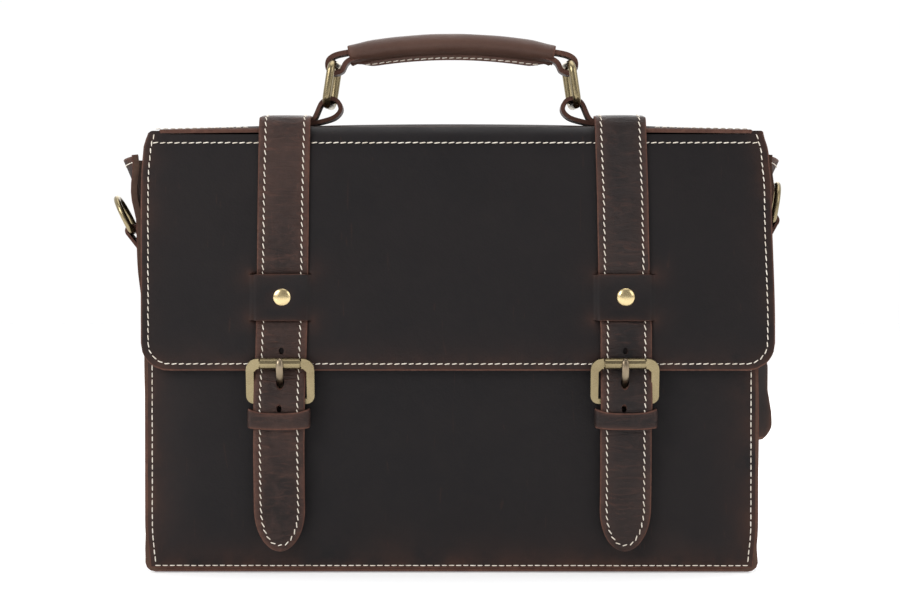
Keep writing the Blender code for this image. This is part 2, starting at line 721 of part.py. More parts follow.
def prong(side, group):
    """A flat pin: an eye round the lower bar and an arm that ends on the roller."""
    eye = arc((BAR_Y, BAR_Z), 0.0040, 95, 385, 16)
    hole = arc((BAR_Y, BAR_Z), 0.0025, 0, 340, 17)
    front = ROLLER_Y - ROLLER_RADIUS - GAP
    arm = [(-0.0540, 0.1132), (-0.0585, 0.1172), (front, 0.1225), (front, 0.1290), (front, 0.1302)]
    arm += [(front - 0.0012, 0.1306), (front - 0.0023, 0.1290), (front - 0.0024, 0.1225)]
    arm += [(front - 0.0016, 0.1195), (-0.0592, 0.1148), (-0.0566, 0.1118), (-0.0557, 0.1096)]
    outline = eye + arm
    place = (STRAP_X[side], 0, 0)
    obj = plate("prong_" + side, group, [outline, hole], 0.0044, place, YZ_PLANE)
    return finish(obj, "brass")


def flap_assembly(group, cutters, top_axis):
    axis = pivot("flap_axis", group, (0, FLAP_FRONT_Y - 0.0002, TOP_Z), top_axis)
    pieces = [flap(group)]
    for side in SIDES:
        pieces.append(strap_flap(side, group, cutters))
        pieces += rivet(side, group)
    bpy.context.view_layer.update()
    for piece in pieces:
        attach(piece, axis)
    return axis


def tongue_assembly(side, group, cutters, flap_axis):
    x = STRAP_X[side]
    front = STRAP_ON_FLAP_Y - LEATHER / 2
    lift = pivot("tongue_axis_" + side, group, (x, front, 0.1512), flap_axis)
    pieces = [strap_tongue(side, group, cutters), chape(side, group, cutters), keeper(side, group)]
    pieces.append(snap_half("snap_stud_" + side, group, x, -0.0485, 0.0019))
    bpy.context.view_layer.update()
    for piece in pieces:
        attach(piece, lift)
    bar = pivot("buckle_axis_" + side, group, (x, BAR_Y, BAR_Z), lift)
    spin = pivot("roller_axis_" + side, group, (x, ROLLER_Y, ROLLER_Z), bar)
    frame, pin, sleeve = buckle_frame(side, group), prong(side, group), roller(side, group)
    bpy.context.view_layer.update()
    attach(frame, bar)
    attach(pin, bar)
    attach(sleeve, spin)


def build():
    clear_scene()
    group = new_collection("satchel_bag")
    cutters = new_collection("cutters")
    frame = body(group)
    top_axis = top(group, frame)
    flap_axis = flap_assembly(group, cutters, top_axis)
    for side in SIDES:
        tongue_assembly(side, group, cutters, flap_axis)


build()
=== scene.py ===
import math
import random

import bmesh
import bpy
import numpy as np
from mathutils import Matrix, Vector


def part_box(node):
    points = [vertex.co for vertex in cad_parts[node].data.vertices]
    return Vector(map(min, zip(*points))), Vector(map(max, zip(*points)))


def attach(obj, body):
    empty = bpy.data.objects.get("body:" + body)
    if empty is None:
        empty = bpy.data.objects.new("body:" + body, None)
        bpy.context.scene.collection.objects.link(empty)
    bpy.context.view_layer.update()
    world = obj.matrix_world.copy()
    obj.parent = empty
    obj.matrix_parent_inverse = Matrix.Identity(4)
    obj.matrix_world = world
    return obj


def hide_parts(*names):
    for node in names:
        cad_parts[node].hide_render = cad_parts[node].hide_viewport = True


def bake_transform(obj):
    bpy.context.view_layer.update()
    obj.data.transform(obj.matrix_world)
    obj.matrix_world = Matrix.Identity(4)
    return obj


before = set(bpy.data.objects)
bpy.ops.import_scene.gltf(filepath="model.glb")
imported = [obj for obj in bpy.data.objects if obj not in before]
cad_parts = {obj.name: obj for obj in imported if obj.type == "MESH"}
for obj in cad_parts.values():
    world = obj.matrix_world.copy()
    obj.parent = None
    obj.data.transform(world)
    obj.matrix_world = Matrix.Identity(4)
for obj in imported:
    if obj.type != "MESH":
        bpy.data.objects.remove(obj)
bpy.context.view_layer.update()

SIDES = {"left": -1, "right": 1}
LEATHER = 0.0022
GAP = 0.0003


# ---- places, read from the frame
def middle_x(node):
    low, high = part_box(node)
    return (low.x + high.x) / 2


FRONT_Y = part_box("front_panel")[0].y
BACK_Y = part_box("back_panel")[1].y
BODY_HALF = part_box("front_panel")[1].x
TOP_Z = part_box("top_panel")[1].z
FLAP_LOW, FLAP_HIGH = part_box("flap")
STRAP_X = {side: middle_x("strap_tongue_" + side) for side in SIDES}
STRAP_HALF = (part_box("strap_top_left")[1].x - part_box("strap_top_left")[0].x) / 2
RIVET = {side: sum(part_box("rivet_cap_" + side), Vector()) / 2 for side in SIDES}
STRAP_FRONT_Y = FLAP_LOW.y - GAP - LEATHER
UPPER_SLIT, LOWER_SLIT = SLITS = 0.1836, 0.1550


# ---- materials
def new_material(name):
    mat = bpy.data.materials.new(name)
    mat.use_nodes = True
    tree = mat.node_tree
    return mat, tree, tree.nodes["Principled BSDF"]


def node(tree, kind, **values):
    made = tree.nodes.new(kind)
    for key, value in values.items():
        if key in made.inputs:
            made.inputs[key].default_value = value
        else:
            setattr(made, key, value)
    return made


def object_space(tree, stretch=(1, 1, 1)):
    coords = node(tree, "ShaderNodeTexCoord")
    mapping = node(tree, "ShaderNodeMapping")
    mapping.inputs["Scale"].default_value = stretch
    tree.links.new(coords.outputs["Object"], mapping.inputs["Vector"])
    return mapping.outputs["Vector"]


def noise(tree, where, scale, detail=3.0, roughness=0.55, distortion=0.0):
    made = node(tree, "ShaderNodeTexNoise", Scale=scale, Detail=detail, Roughness=roughness,
                Distortion=distortion)
    tree.links.new(where, made.inputs["Vector"])
    return made.outputs["Fac"]


def ramp(tree, value, low, high, to_low=0.0, to_high=1.0):
    made = node(tree, "ShaderNodeMapRange")
    for key, number in (("From Min", low), ("From Max", high), ("To Min", to_low), ("To Max", to_high)):
        made.inputs[key].default_value = number
    tree.links.new(value, made.inputs["Value"])
    return made.outputs["Result"]


def feed(tree, socket, value):
    """Set a socket to a number or a colour, or link another node's output to it."""
    if isinstance(value, bpy.types.NodeSocket):
        tree.links.new(value, socket)
    else:
        socket.default_value = (*value, 1.0) if isinstance(value, tuple) else value


def combine(tree, operation, first, second):
    made = node(tree, "ShaderNodeMath", operation=operation)
    feed(tree, made.inputs[0], first)
    feed(tree, made.inputs[1], second)
    return made.outputs[0]


def mix_colour(tree, factor, first, second):
    made = node(tree, "ShaderNodeMix", data_type="RGBA")
    factor_socket, first_socket, second_socket = made.inputs[0], made.inputs[6], made.inputs[7]
    feed(tree, factor_socket, factor)
    feed(tree, first_socket, first)
    feed(tree, second_socket, second)
    return made.outputs[2]


def bump(tree, height, distance, strength=1.0, below=None):
    made = node(tree, "ShaderNodeBump", Distance=distance, Strength=strength)
    tree.links.new(height, made.inputs["Height"])
    if below is not None:
        tree.links.new(below, made.inputs["Normal"])
    return made.outputs["Normal"]


def leather(name, dark, light, worn, cloud=0.5, crease=0.0, gloss=0.5, shine=0.22):
    """Waxed leather: cloudy colour, warm worn edges, fine grain, hair scratches, and creases whose fold
    crests carry a painted highlight.
    """
    mat, tree, shader = new_material(name)
    where = object_space(tree)
    clouds = ramp(tree, noise(tree, where, 11.0, 5.0, 0.6, 0.4), 0.35, 0.72, 0.0, cloud)
    base = mix_colour(tree, clouds, dark, light)
    mottle = ramp(tree, noise(tree, where, 95.0, 5.0, 0.7, 0.5), 0.42, 0.72, 0.0, 0.35 + 0.35 * crease)
    base = mix_colour(tree, mottle, base, light)
    patch = ramp(tree, noise(tree, where, 38.0, 4.0, 0.6), 0.30, 0.66)
    wear = node(tree, "ShaderNodeAttribute", attribute_name="wear").outputs["Fac"]
    edge = combine(tree, "MULTIPLY", wear, patch)
    base = mix_colour(tree, edge, base, worn)
    stretched = object_space(tree, (1.0, 1.0, 0.12))
    hair = ramp(tree, noise(tree, stretched, 210.0, 2.0, 0.4, 1.8), 0.715, 0.74, 0.0, 0.16)
    base = mix_colour(tree, hair, base, worn)
    rough = ramp(tree, noise(tree, where, 26.0, 4.0, 0.6), 0.3, 0.7, gloss - 0.07, gloss + 0.09)
    tree.links.new(rough, shader.inputs["Roughness"])
    shader.inputs["Specular IOR Level"].default_value = shine
    pores = node(tree, "ShaderNodeTexVoronoi", Scale=620.0)
    tree.links.new(where, pores.inputs["Vector"])
    normal = bump(tree, pores.outputs["Distance"], 0.00016, 0.35)
    normal = bump(tree, noise(tree, where, 240.0, 5.0, 0.7), 0.00035, 0.35, normal)
    normal = bump(tree, noise(tree, where, 30.0, 3.0), 0.0012, 0.18, normal)
    if crease:
        folds = noise(tree, object_space(tree, (0.5, 1.0, 2.1)), 95.0, 5.0, 0.65, 1.6)
        normal = bump(tree, folds, 0.0016, crease, normal)
        # painted highlight: the fold crests are lightened towards the worn colour, as if they caught the
        # light
        base = mix_colour(tree, ramp(tree, folds, 0.52, 0.74, 0.0, 0.42 * crease), base, worn)
    tree.links.new(base, shader.inputs["Base Color"])
    tree.links.new(normal, shader.inputs["Normal"])
    return mat


def fibrous(name, dark, light, scale=420.0, rough=0.8):
    """Cut edges and flesh side: short felted fibres."""
    mat, tree, shader = new_material(name)
    where = object_space(tree)
    mix = ramp(tree, noise(tree, where, scale, 5.0, 0.7), 0.3, 0.7)
    patches = ramp(tree, noise(tree, where, 45.0, 3.0), 0.35, 0.65, 0.0, 0.6)
    base = mix_colour(tree, mix, dark, light)
    base = mix_colour(tree, patches, base, dark)
    tree.links.new(base, shader.inputs["Base Color"])
    shader.inputs["Roughness"].default_value = rough
    shader.inputs["Specular IOR Level"].default_value = 0.25
    normal = bump(tree, noise(tree, where, scale * 1.5, 4.0, 0.7), 0.0003, 0.6)
    tree.links.new(normal, shader.inputs["Normal"])
    return mat


def thread(name):
    """Waxed cream thread with its twist."""
    mat, tree, shader = new_material(name)
    where = object_space(tree)
    tone = ramp(tree, noise(tree, where, 130.0, 3.0), 0.3, 0.7)
    base = mix_colour(tree, tone, (0.62, 0.54, 0.44), (0.83, 0.77, 0.68))
    tree.links.new(base, shader.inputs["Base Color"])
    shader.inputs["Roughness"].default_value = 0.62
    twist = node(tree, "ShaderNodeTexWave", Scale=520.0, Distortion=1.2, bands_direction="DIAGONAL")
    tree.links.new(where, twist.inputs["Vector"])
    tree.links.new(bump(tree, twist.outputs["Fac"], 0.0002, 0.5), shader.inputs["Normal"])
    return mat


def brass(name, bright, dark, patina, rough):
    """Cast brass: soft brushed highlights, with darker patina in patches."""
    mat, tree, shader = new_material(name)
    where = object_space(tree)
    clouds = ramp(tree, noise(tree, where, 55.0, 4.0, 0.55), 0.40, 0.80, 0.0, patina)
    tree.links.new(mix_colour(tree, clouds, bright, dark), shader.inputs["Base Color"])
    shader.inputs["Metallic"].default_value = 1.0
    brushed = object_space(tree, (1.0, 1.0, 9.0))
    grain = noise(tree, brushed, 260.0, 4.0, 0.7)
    tree.links.new(ramp(tree, grain, 0.25, 0.75, rough - 0.04, rough + 0.06), shader.inputs["Roughness"])
    normal = bump(tree, grain, 0.00005, 0.10)
    normal = bump(tree, noise(tree, where, 120.0, 2.0), 0.0002, 0.06, normal)
    tree.links.new(normal, shader.inputs["Normal"])
    return mat


def canvas(name, dark, light):
    """Plain-woven cotton, with painted shade in the hollows between its threads."""
    mat, tree, shader = new_material(name)
    where = object_space(tree)
    warp = node(tree, "ShaderNodeTexWave", Scale=330.0, Distortion=0.6, bands_direction="X")
    weft = node(tree, "ShaderNodeTexWave", Scale=330.0, Distortion=0.6, bands_direction="Z")
    for band in (warp, weft):
        tree.links.new(where, band.inputs["Vector"])
    weave = combine(tree, "MAXIMUM", warp.outputs["Fac"], weft.outputs["Fac"])
    slubs = ramp(tree, noise(tree, where, 60.0, 4.0, 0.7), 0.3, 0.7)
    base = mix_colour(tree, slubs, dark, light)
    # painted shade: darker in the gaps between the threads, where the weave is low
    base = mix_colour(tree, ramp(tree, weave, 0.2, 1.0, 0.45, 0.0), base, dark)
    tree.links.new(base, shader.inputs["Base Color"])
    shader.inputs["Roughness"].default_value = 0.9
    tree.links.new(bump(tree, weave, 0.0004, 0.6), shader.inputs["Normal"])
    return mat


PANEL = leather("panel_leather", (0.0072, 0.0060, 0.0066), (0.0125, 0.0094, 0.0092),
                (0.062, 0.026, 0.016), 0.6, shine=0.18)
SIDE = leather("gusset_leather", (0.0130, 0.0098, 0.0094), (0.023, 0.0155, 0.0135),
               (0.085, 0.036, 0.022), 0.7, gloss=0.72, shine=0.09)
STRAP = leather("strap_leather_left", (0.0105, 0.0066, 0.0060), (0.050, 0.0265, 0.0205),
                (0.115, 0.050, 0.034), 0.85, 0.9)
STRAP_DARK = leather("strap_leather_right", (0.0075, 0.0058, 0.0062), (0.030, 0.0188, 0.0160),
                     (0.095, 0.042, 0.029), 0.8, 0.9)
GRIP = leather("handle_leather", (0.052, 0.0255, 0.0185), (0.098, 0.052, 0.038), (0.125, 0.062, 0.044),
               0.9, 0.25)
LOOP = leather("loop_leather", (0.036, 0.0165, 0.0125), (0.064, 0.030, 0.022), (0.115, 0.050, 0.034),
               0.9, 0.2)
RAW = fibrous("cut_edge", (0.058, 0.024, 0.017), (0.130, 0.061, 0.042))
FLESH = fibrous("flesh_side", (0.060, 0.034, 0.024), (0.105, 0.064, 0.046), 260.0, 0.92)
THREAD = thread("waxed_thread")
BRASS = brass("antique_brass", (0.30, 0.245, 0.140), (0.17, 0.13, 0.072), 0.7, 0.27)
TARNISHED = brass("tarnished_brass", (0.30, 0.24, 0.165), (0.13, 0.095, 0.060), 0.8, 0.33)
BRIGHT = brass("polished_brass", (0.74, 0.59, 0.32), (0.42, 0.31, 0.15), 0.45, 0.25)
CANVAS = canvas("lining_canvas", (0.105, 0.070, 0.042), (0.165, 0.115, 0.072))
BOARD = fibrous("fibre_board", (0.19, 0.14, 0.09), (0.27, 0.21, 0.15), 300.0, 0.9)


# ---- mesh helpers
def add_object(name, mesh, materials):
    obj = bpy.data.objects.new(name, mesh)
    bpy.context.scene.collection.objects.link(obj)
    for mat in materials:
        obj.data.materials.append(mat)
    return obj


def settle(obj):
    """Apply the object's modifiers to its mesh."""
    bpy.context.view_layer.update()
    graph = bpy.context.evaluated_depsgraph_get()
    mesh = bpy.data.meshes.new_from_object(obj.evaluated_get(graph), preserve_all_data_layers=True,
                                           depsgraph=graph)
    obj.modifiers.clear()
    old = obj.data
    obj.data = mesh
    if isinstance(old, bpy.types.Mesh):
        bpy.data.meshes.remove(old)
    return obj


def from_bmesh(bm, name, materials, turn_out=True):
    """Make an object of a bmesh, with its faces turned outwards."""
    if turn_out:
        bmesh.ops.recalc_face_normals(bm, faces=bm.faces)
    mesh = bpy.data.meshes.new(name)
    bm.to_mesh(mesh)
    bm.free()
    return add_object(name, mesh, materials)


def join_rings(bm, rings, closed=True):
    """Smooth quads between each row of vertices and the next."""
    count = len(rings[0])
    for a, b in zip(rings, rings[1:]):
        for k in range(count if closed else count - 1):
            m = (k + 1) % count
            bm.faces.new((a[k], a[m], b[m], b[k])).smooth = True


def thicken(obj, thickness):
    """Give a sheet its thickness on its flesh side, with the cut edge as a third material."""
    shell = obj.modifiers.new("thickness", "SOLIDIFY")
    shell.thickness = thickness
    shell.offset = -1.0
    shell.material_offset = 1
    shell.material_offset_rim = 2
    settle(obj)
    obj.data.set_sharp_from_angle(angle=math.radians(50))


def place(obj, slot, body, *nodes):
    """Hide the frame nodes that a piece stands for and attach it to the body it moves with; slot is not used.
    """
    if nodes:
        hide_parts(*nodes)
    if body:
        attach(obj, body)


def grid_distances(grid, closed_rows, worn="tb"):
    """Distance of each grid point from the nearest worn border of its sheet."""
    along = np.linalg.norm(np.diff(grid, axis=0), axis=2)
    down = np.concatenate([np.zeros((1, grid.shape[1])), np.cumsum(along, axis=0)])
    nearest = np.full(down.shape, 1.0)
    if "t" in worn:
        nearest = np.minimum(nearest, down)
    if "b" in worn:
        nearest = np.minimum(nearest, down[-1] - down)
    if not closed_rows:
        steps = np.linalg.norm(np.diff(grid, axis=1), axis=2)
        across = np.concatenate([np.zeros((grid.shape[0], 1)), np.cumsum(steps, axis=1)], axis=1)
        nearest = np.minimum(nearest, np.minimum(across, across[:, -1:] - across))
    return nearest


def leather_sheet(name, rows, grain, outward, thickness=LEATHER, raw="lrtb", closed_rows=False,
                  wear_reach=0.006):
    """A sheet of leather from a grid of points on its grain side.

    The outermost cells on the sides named in raw (left, right, top, bottom of the grid) show
    the cut edge.  outward is a rough outward direction, or a function that gives it for a place.
    """
    grid = np.array(rows, float)
    count_i, count_j = grid.shape[:2]
    mesh = bpy.data.meshes.new(name)
    faces = []
    kinds = []
    for i in range(count_i - 1):
        for j in range(count_j if closed_rows else count_j - 1):
            k = (j + 1) % count_j
            faces.append((i * count_j + j, i * count_j + k, (i + 1) * count_j + k, (i + 1) * count_j + j))
            border = ("t" in raw and i == 0) or ("b" in raw and i == count_i - 2)
            if not closed_rows:
                border = border or ("l" in raw and j == 0) or ("r" in raw and j == count_j - 2)
            kinds.append(2 if border else 0)
    mesh.from_pydata(grid.reshape(-1, 3).tolist(), [], faces)
    mesh.polygons.foreach_set("material_index", kinds)
    wear = np.exp(-grid_distances(grid, closed_rows, raw) / wear_reach).astype(np.float32)
    layer = mesh.attributes.new("wear", "FLOAT", "POINT")
    layer.data.foreach_set("value", wear.reshape(-1))
    mesh.update()
    towards = outward if callable(outward) else lambda centre: Vector(outward)
    facing = sum(polygon.normal.dot(towards(polygon.center)) * polygon.area for polygon in mesh.polygons)
    if facing < 0:
        mesh.flip_normals()
    mesh.polygons.foreach_set("use_smooth", [True] * len(mesh.polygons))
    obj = add_object(name, mesh, [grain, FLESH, RAW])
    thicken(obj, thickness)
    return obj


def stations(low, high, step, fine=(), fine_step=0.001, reach=0.012, rim=0.0009):
    """Rising values from low to high, closer together near the values in fine and at both rims."""
    values = [low, low + rim]
    here = low + rim
    while here < high - rim:
        near = min((abs(here - value) for value in fine), default=1.0)
        here += fine_step if near < reach else step
        if here < high - rim - fine_step / 2:
            values.append(here)
    values += [high - rim, high]
    return values


def arc(centre, radius, degrees):
    """Points of a circle in a plane, at the given angles."""
    return [(centre[0] + radius * math.cos(math.radians(angle)),
             centre[1] + radius * math.sin(math.radians(angle))) for angle in degrees]


def share(value, low, high):
    """How far value has gone from low to high, kept between 0 and 1."""
    return min(max((value - low) / (high - low), 0.0), 1.0)


def smoothstep(value, low, high):
    t = share(value, low, high)
    return t * t * (3 - 2 * t)


def resample(points, spacing):
    """Points every spacing along a polyline, with unit tangents."""
    points = [Vector(point) for point in points]
    total = sum((b - a).length for a, b in zip(points, points[1:]))
    count = max(1, round(total / spacing))
    step = total / count
    found = []
    want = step / 2
    run = 0.0
    for a, b in zip(points, points[1:]):
        length = (b - a).length
        while length > 0 and want <= run + length:
            found.append((a.lerp(b, (want - run) / length), (b - a).normalized()))
            want += step
        run += length
    return found


def rounded_path(points, radius, steps=6):
    """A polyline whose inner corners are replaced with arcs (quadratic curves)."""
    points = [Vector(point) for point in points]
    path = [points[0]]
    for before, corner, after in zip(points, points[1:], points[2:]):
        cut_in = min(radius, (corner - before).length / 2.01)
        cut_out = min(radius, (after - corner).length / 2.01)
        start = corner + (before - corner).normalized() * cut_in
        end = corner + (after - corner).normalized() * cut_out
        for i in range(steps + 1):
            t = i / steps
            path.append(start * (1 - t) ** 2 + corner * 2 * t * (1 - t) + end * t * t)
    path.append(points[-1])
    return path


def densify(path, step):
    path = [Vector(point) for point in path]
    dense = [path[0]]
    for a, b in zip(path, path[1:]):
        pieces = max(1, math.ceil((b - a).length / step))
        dense += [a.lerp(b, (k + 1) / pieces) for k in range(pieces)]
    return dense


def spread(start, end):
    """Values from start to end, close enough together for a seam."""
    return [point.x for point in densify([(start, 0, 0), (end, 0, 0)], 0.004)]


def rounded_outline(half_x, half_y, corner, steps, spacing):
    """A closed rectangle with rounded corners, seen from above."""
    outline = []
    for quarter, (sx, sy) in enumerate(((1, -1), (1, 1), (-1, 1), (-1, -1))):
        start = -90 + 90 * quarter
        outline += arc((sx * (half_x - corner), sy * (half_y - corner)), corner,
                       [start + 90 * k / steps for k in range(steps + 1)])
    return [(p.x, p.y) for p in densify([(x, y, 0) for x, y in outline + outline[:1]], spacing)][:-1]


# ---- stitches
STITCH_PITCH = 0.0044
STITCH_LENGTH = 0.0038
STITCH_RADIUS = 0.00031
STITCH_RINGS, STITCH_SIDES = 7, 6


def stitch_into(bm, centre, along, normal, slant, rng):
    """One stitch: a short arched thread whose ends dive into the leather."""
    across = normal.cross(along).normalized()
    along = (along + across * slant).normalized()
    across = normal.cross(along).normalized()
    length = STITCH_LENGTH * (1 + rng.uniform(-0.07, 0.07))
    centre = centre + across * rng.uniform(-0.00008, 0.00008)
    rings = []
    for i in range(STITCH_RINGS):
        t = i / (STITCH_RINGS - 1) * 2 - 1
        radius = STITCH_RADIUS * math.sqrt(max(1 - t ** 4, 0.02))
        height = STITCH_RADIUS * (0.9 - 1.7 * t ** 4)
        middle = centre + along * (t * length / 2) + normal * height
        ring = []
        for k in range(STITCH_SIDES):
            turn = 2 * math.pi * k / STITCH_SIDES
            offset = across * (radius * 1.15 * math.cos(turn)) + normal * (radius * math.sin(turn))
            ring.append(bm.verts.new(middle + offset))
        rings.append(ring)
    join_rings(bm, rings)
    bm.faces.new(rings[0][::-1])
    bm.faces.new(rings[-1])


def stitches(name, seams, slant=0.0, seed=1):
    """A mesh of stitches along seams: each seam is a list of (point, normal)."""
    rng = random.Random(seed)
    bm = bmesh.new()
    for seam in seams:
        points = [point for point, _ in seam]
        normals = [Vector(normal) for _, normal in seam]
        for place, along in resample(points, STITCH_PITCH):
            nearest = min(range(len(points)), key=lambda i: (Vector(points[i]) - place).length_squared)
            normal = normals[nearest]
            normal = (normal - along * normal.dot(along)).normalized()
            stitch_into(bm, place, along, normal, slant, rng)
    return from_bmesh(bm, name, [THREAD])


# ---- body panels
EDGE_DROP = 0.0016
SEAM_INSET = 0.0048
GUSSET_X = 0.1855
GUSSET_HALF_DEPTH = 0.0398
FLANGE = 0.0031


def front_surface(x, z):
    """Outer face of the front panel: softly crowned, pulled back along its seams."""
    side = smoothstep(BODY_HALF - abs(x), 0.0, 0.030)
    low = smoothstep(z, 0.0, 0.028)
    crown = 0.0022 * (1 - side * low)
    wave = 0.0005 * math.sin(21 * x + 1.3) * math.sin(17 * z + 0.6) * side * low
    return Vector((x, FRONT_Y + crown + wave, z))


def panel_width(z):
    """Scale of the panel's width: the lower corners are drawn in by the seam."""
    return 1 - 0.012 * (1 - smoothstep(z, 0.0, 0.034)) ** 1.5


def front_panel():
    xs = stations(-BODY_HALF, BODY_HALF, 0.0062, rim=0.0020)
    zs = stations(0.0016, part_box("front_panel")[1].z, 0.006, rim=0.0020)
    rows = []
    for i, z in enumerate(zs):
        row = []
        for j, x in enumerate(xs):
            point = front_surface(x * panel_width(z), z)
            if j in (0, len(xs) - 1) or i == 0:
                point.y += EDGE_DROP
            row.append(point)
        rows.append(row)
    piece = leather_sheet("front_panel_leather", rows, PANEL, (0, -1, 0), wear_reach=0.008)
    place(piece, "dark_leather", "body", "front_panel")
    seams = [[(front_surface(x * panel_width(z), z), (0, -1, 0)) for z in spread(0.246, 0.006)]
             for x in seam_columns()]
    seams.append([(front_surface(x, 0.0043), (0, -1, -0.2)) for x in bottom_seam()])
    place(stitches("front_panel_stitches", seams, 0.0, 11), "dark_leather", "body")


def seam_columns():
    """Where the two upright seams of the front and the back run."""
    return SEAM_INSET - BODY_HALF, BODY_HALF - SEAM_INSET


def bottom_seam():
    return spread(0.006 - BODY_HALF, BODY_HALF - 0.006)


def side_bulge(z):
    """Outward belly of the side walls, the same curve as the frame's gusset."""
    return 0.007 * smoothstep(z, 0.120, 0.215) + 0.0140 * max((z - 0.215) / 0.040, 0.0) ** 1.3


def wing_depth(z, fraction):
    """How much of the belly shows across the wall: round low down, a soft ridge at the wings."""
    fold = 0.9 * smoothstep(z, 0.135, 0.19) * (1 - 0.55 * smoothstep(z, 0.225, 0.255))
    round_part = 1 - (1 - fold) * fraction * fraction
    ridge = fold + (1 - fold) * (1 - abs(fraction)) ** 0.8
    ridged = smoothstep(z, 0.20, 0.25) * 0.55
    return round_part * (1 - ridged) + ridge * ridged


def gusset_surface(side, fraction, z):
    out = GUSSET_X + side_bulge(z) * wing_depth(z, fraction)
    out += 0.0006 * math.sin(40 * z + 3 * fraction + side)
    return Vector((side * out, fraction * GUSSET_HALF_DEPTH, z))


def hem_droop(fraction):
    """The gusset's free top edge hangs a little lower in the middle."""
    return 0.0018 * (1 - abs(fraction)) ** 0.7


def gusset_path(top):
    """Stations round the U: (side, height, None) on the walls, (side, height, (x, nx, nz)) below."""
    first = top - 0.0009
    heights = [top, first] + [first - i * 0.0055 for i in range(1, 45)]
    heights = [z for z in heights if z > 0.012]
    corner = 0.006
    inner = GUSSET_X - corner
    path = [(-1, z, None) for z in heights]
    for sign, start in ((-1, 180), (1, 270)):
        for k in range(5):
            nx, nz = arc((0, 0), 1, [start + 22.5 * k])[0]
            path.append((sign, corner + corner * nz, (sign * inner + corner * nx, nx, nz)))
        if sign < 0:
            path += [(0, 0.0, (-inner + k * 2 * inner / 30, 0, -1)) for k in range(1, 30)]
    return path + [(1, z, None) for z in reversed(heights)]


def gusset_station(sign, z, turn, fractions, top):
    """Points across the strip at one station: (points, outward normal, flange length)."""
    if turn is None:
        base = [gusset_surface(sign, f, z) for f in fractions]
        for f, point in zip(fractions, base):
            point.z -= hem_droop(f) * smoothstep(z, 0.235, top)
        return base, Vector((sign, 0, 0)), FLANGE - 0.0006 * smoothstep(z, 0.15, 0.25)
    x, nx, nz = turn
    base = [Vector((x, f * GUSSET_HALF_DEPTH, z + 0.0012 * abs(nz))) for f in fractions]
    return base, Vector((nx, 0, nz)), FLANGE * abs(nx)


def gusset():
    """The U-shaped side and base strip, with its seam flanges turned out."""
    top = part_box("gusset")[1].z + 0.0012
    fractions = [-1 + 2 * k / 14 for k in range(15)]
    rows = []
    for sign, z, turn in gusset_path(top):
        base, normal, flange = gusset_station(sign, z, turn, fractions, top)
        tip = normal * max(flange, 0.0006)
        row = []
        for end, sign_y in ((base[0], -1), (base[-1], 1)):
            root = end + normal * 0.0004 + Vector((0, sign_y * 0.0005, 0))
            outer = end + tip + Vector((0, sign_y * 0.0006, 0))
            inner = end + tip * 0.75 + Vector((0, sign_y * 0.0006, 0))
            row.append([outer, inner, root] if sign_y < 0 else [root, inner, outer])
        rows.append(row[0] + base[1:-1] + row[1])
    piece = leather_sheet("gusset_leather", rows, SIDE, lambda c: Vector((c.x, 0, c.z - 0.14)),
                          wear_reach=0.005)
    place(piece, "dark_leather", "body", "gusset")
    seams = []
    for sign in (-1, 1):
        hem = [-0.93 + 1.86 * k / 24 for k in range(25)]
        line = [gusset_surface(sign, f, top - 0.0038) - Vector((0, 0, hem_droop(f))) for f in hem]
        seams.append([(point, (sign, 0, 0)) for point in line])
    place(stitches("gusset_hem_stitches", seams, 0.0, 12), "dark_leather", "body")


# ---- back and top in one piece
TOP_CORNER = 0.011
TOP_FRONT_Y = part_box("top_panel")[0].y


def top_dome(x, y):
    """Rise of the top over the bag, highest between the straps."""
    across = 1 - min(abs(x) / 0.189, 1) ** 2.2
    deep = math.sin(math.pi * share(y, -0.0505, 0.0465)) ** 0.6
    return (0.0006 + 0.0062 * across) * deep + 0.0006 * (1 - deep) * across


def between_straps(x):
    """1 between the two straps, where the flap runs on over the top with no cut edge in sight."""
    return smoothstep(x, STRAP_X["left"], STRAP_X["left"] + 0.013) \
        * smoothstep(-x, -STRAP_X["right"], -STRAP_X["right"] + 0.013)


def hide_profile():
    """The line that the hide follows: up the back, round the corner and forward over the top."""
    corner_y = BACK_Y - TOP_CORNER
    profile = [(BACK_Y, z) for z in stations(0.0016, TOP_Z - TOP_CORNER, 0.006, rim=0.0012)][:-1]
    profile += arc((corner_y, TOP_Z - TOP_CORNER), TOP_CORNER, [90 * k / 8 for k in range(9)])
    profile += [(corner_y + (TOP_FRONT_Y + 0.003 - corner_y) * k / 19, TOP_Z) for k in range(1, 20)]
    return profile + [(TOP_FRONT_Y + 0.0012, TOP_Z), (TOP_FRONT_Y, TOP_Z - 0.0001)]


def hide_point(u, y, z, at_side):
    """The hide's place at u, from -1 to 1 across, for a point of its profile."""
    on_top = smoothstep(z, TOP_Z - TOP_CORNER, TOP_Z)
    forward = smoothstep(-y, -BACK_Y, -TOP_FRONT_Y)
    half = BODY_HALF - on_top * (0.0006 + 0.0016 * forward + 0.0052 * forward ** 3)
    x = u * half * panel_width(z) + 0.0026 * on_top * forward
    rise = top_dome(x, y) * on_top - 0.0010 * forward * between_straps(x)
    if on_top < 1:
        y -= 0.0020 * (1 - smoothstep(BODY_HALF - abs(x), 0, 0.03)) * (1 - on_top)
    y += 0.0058 * forward * between_straps(x)
    if at_side:
        rise -= 0.0006 * on_top
        y -= 0.0010 * (1 - on_top)
    return Vector((x, y, z + rise))


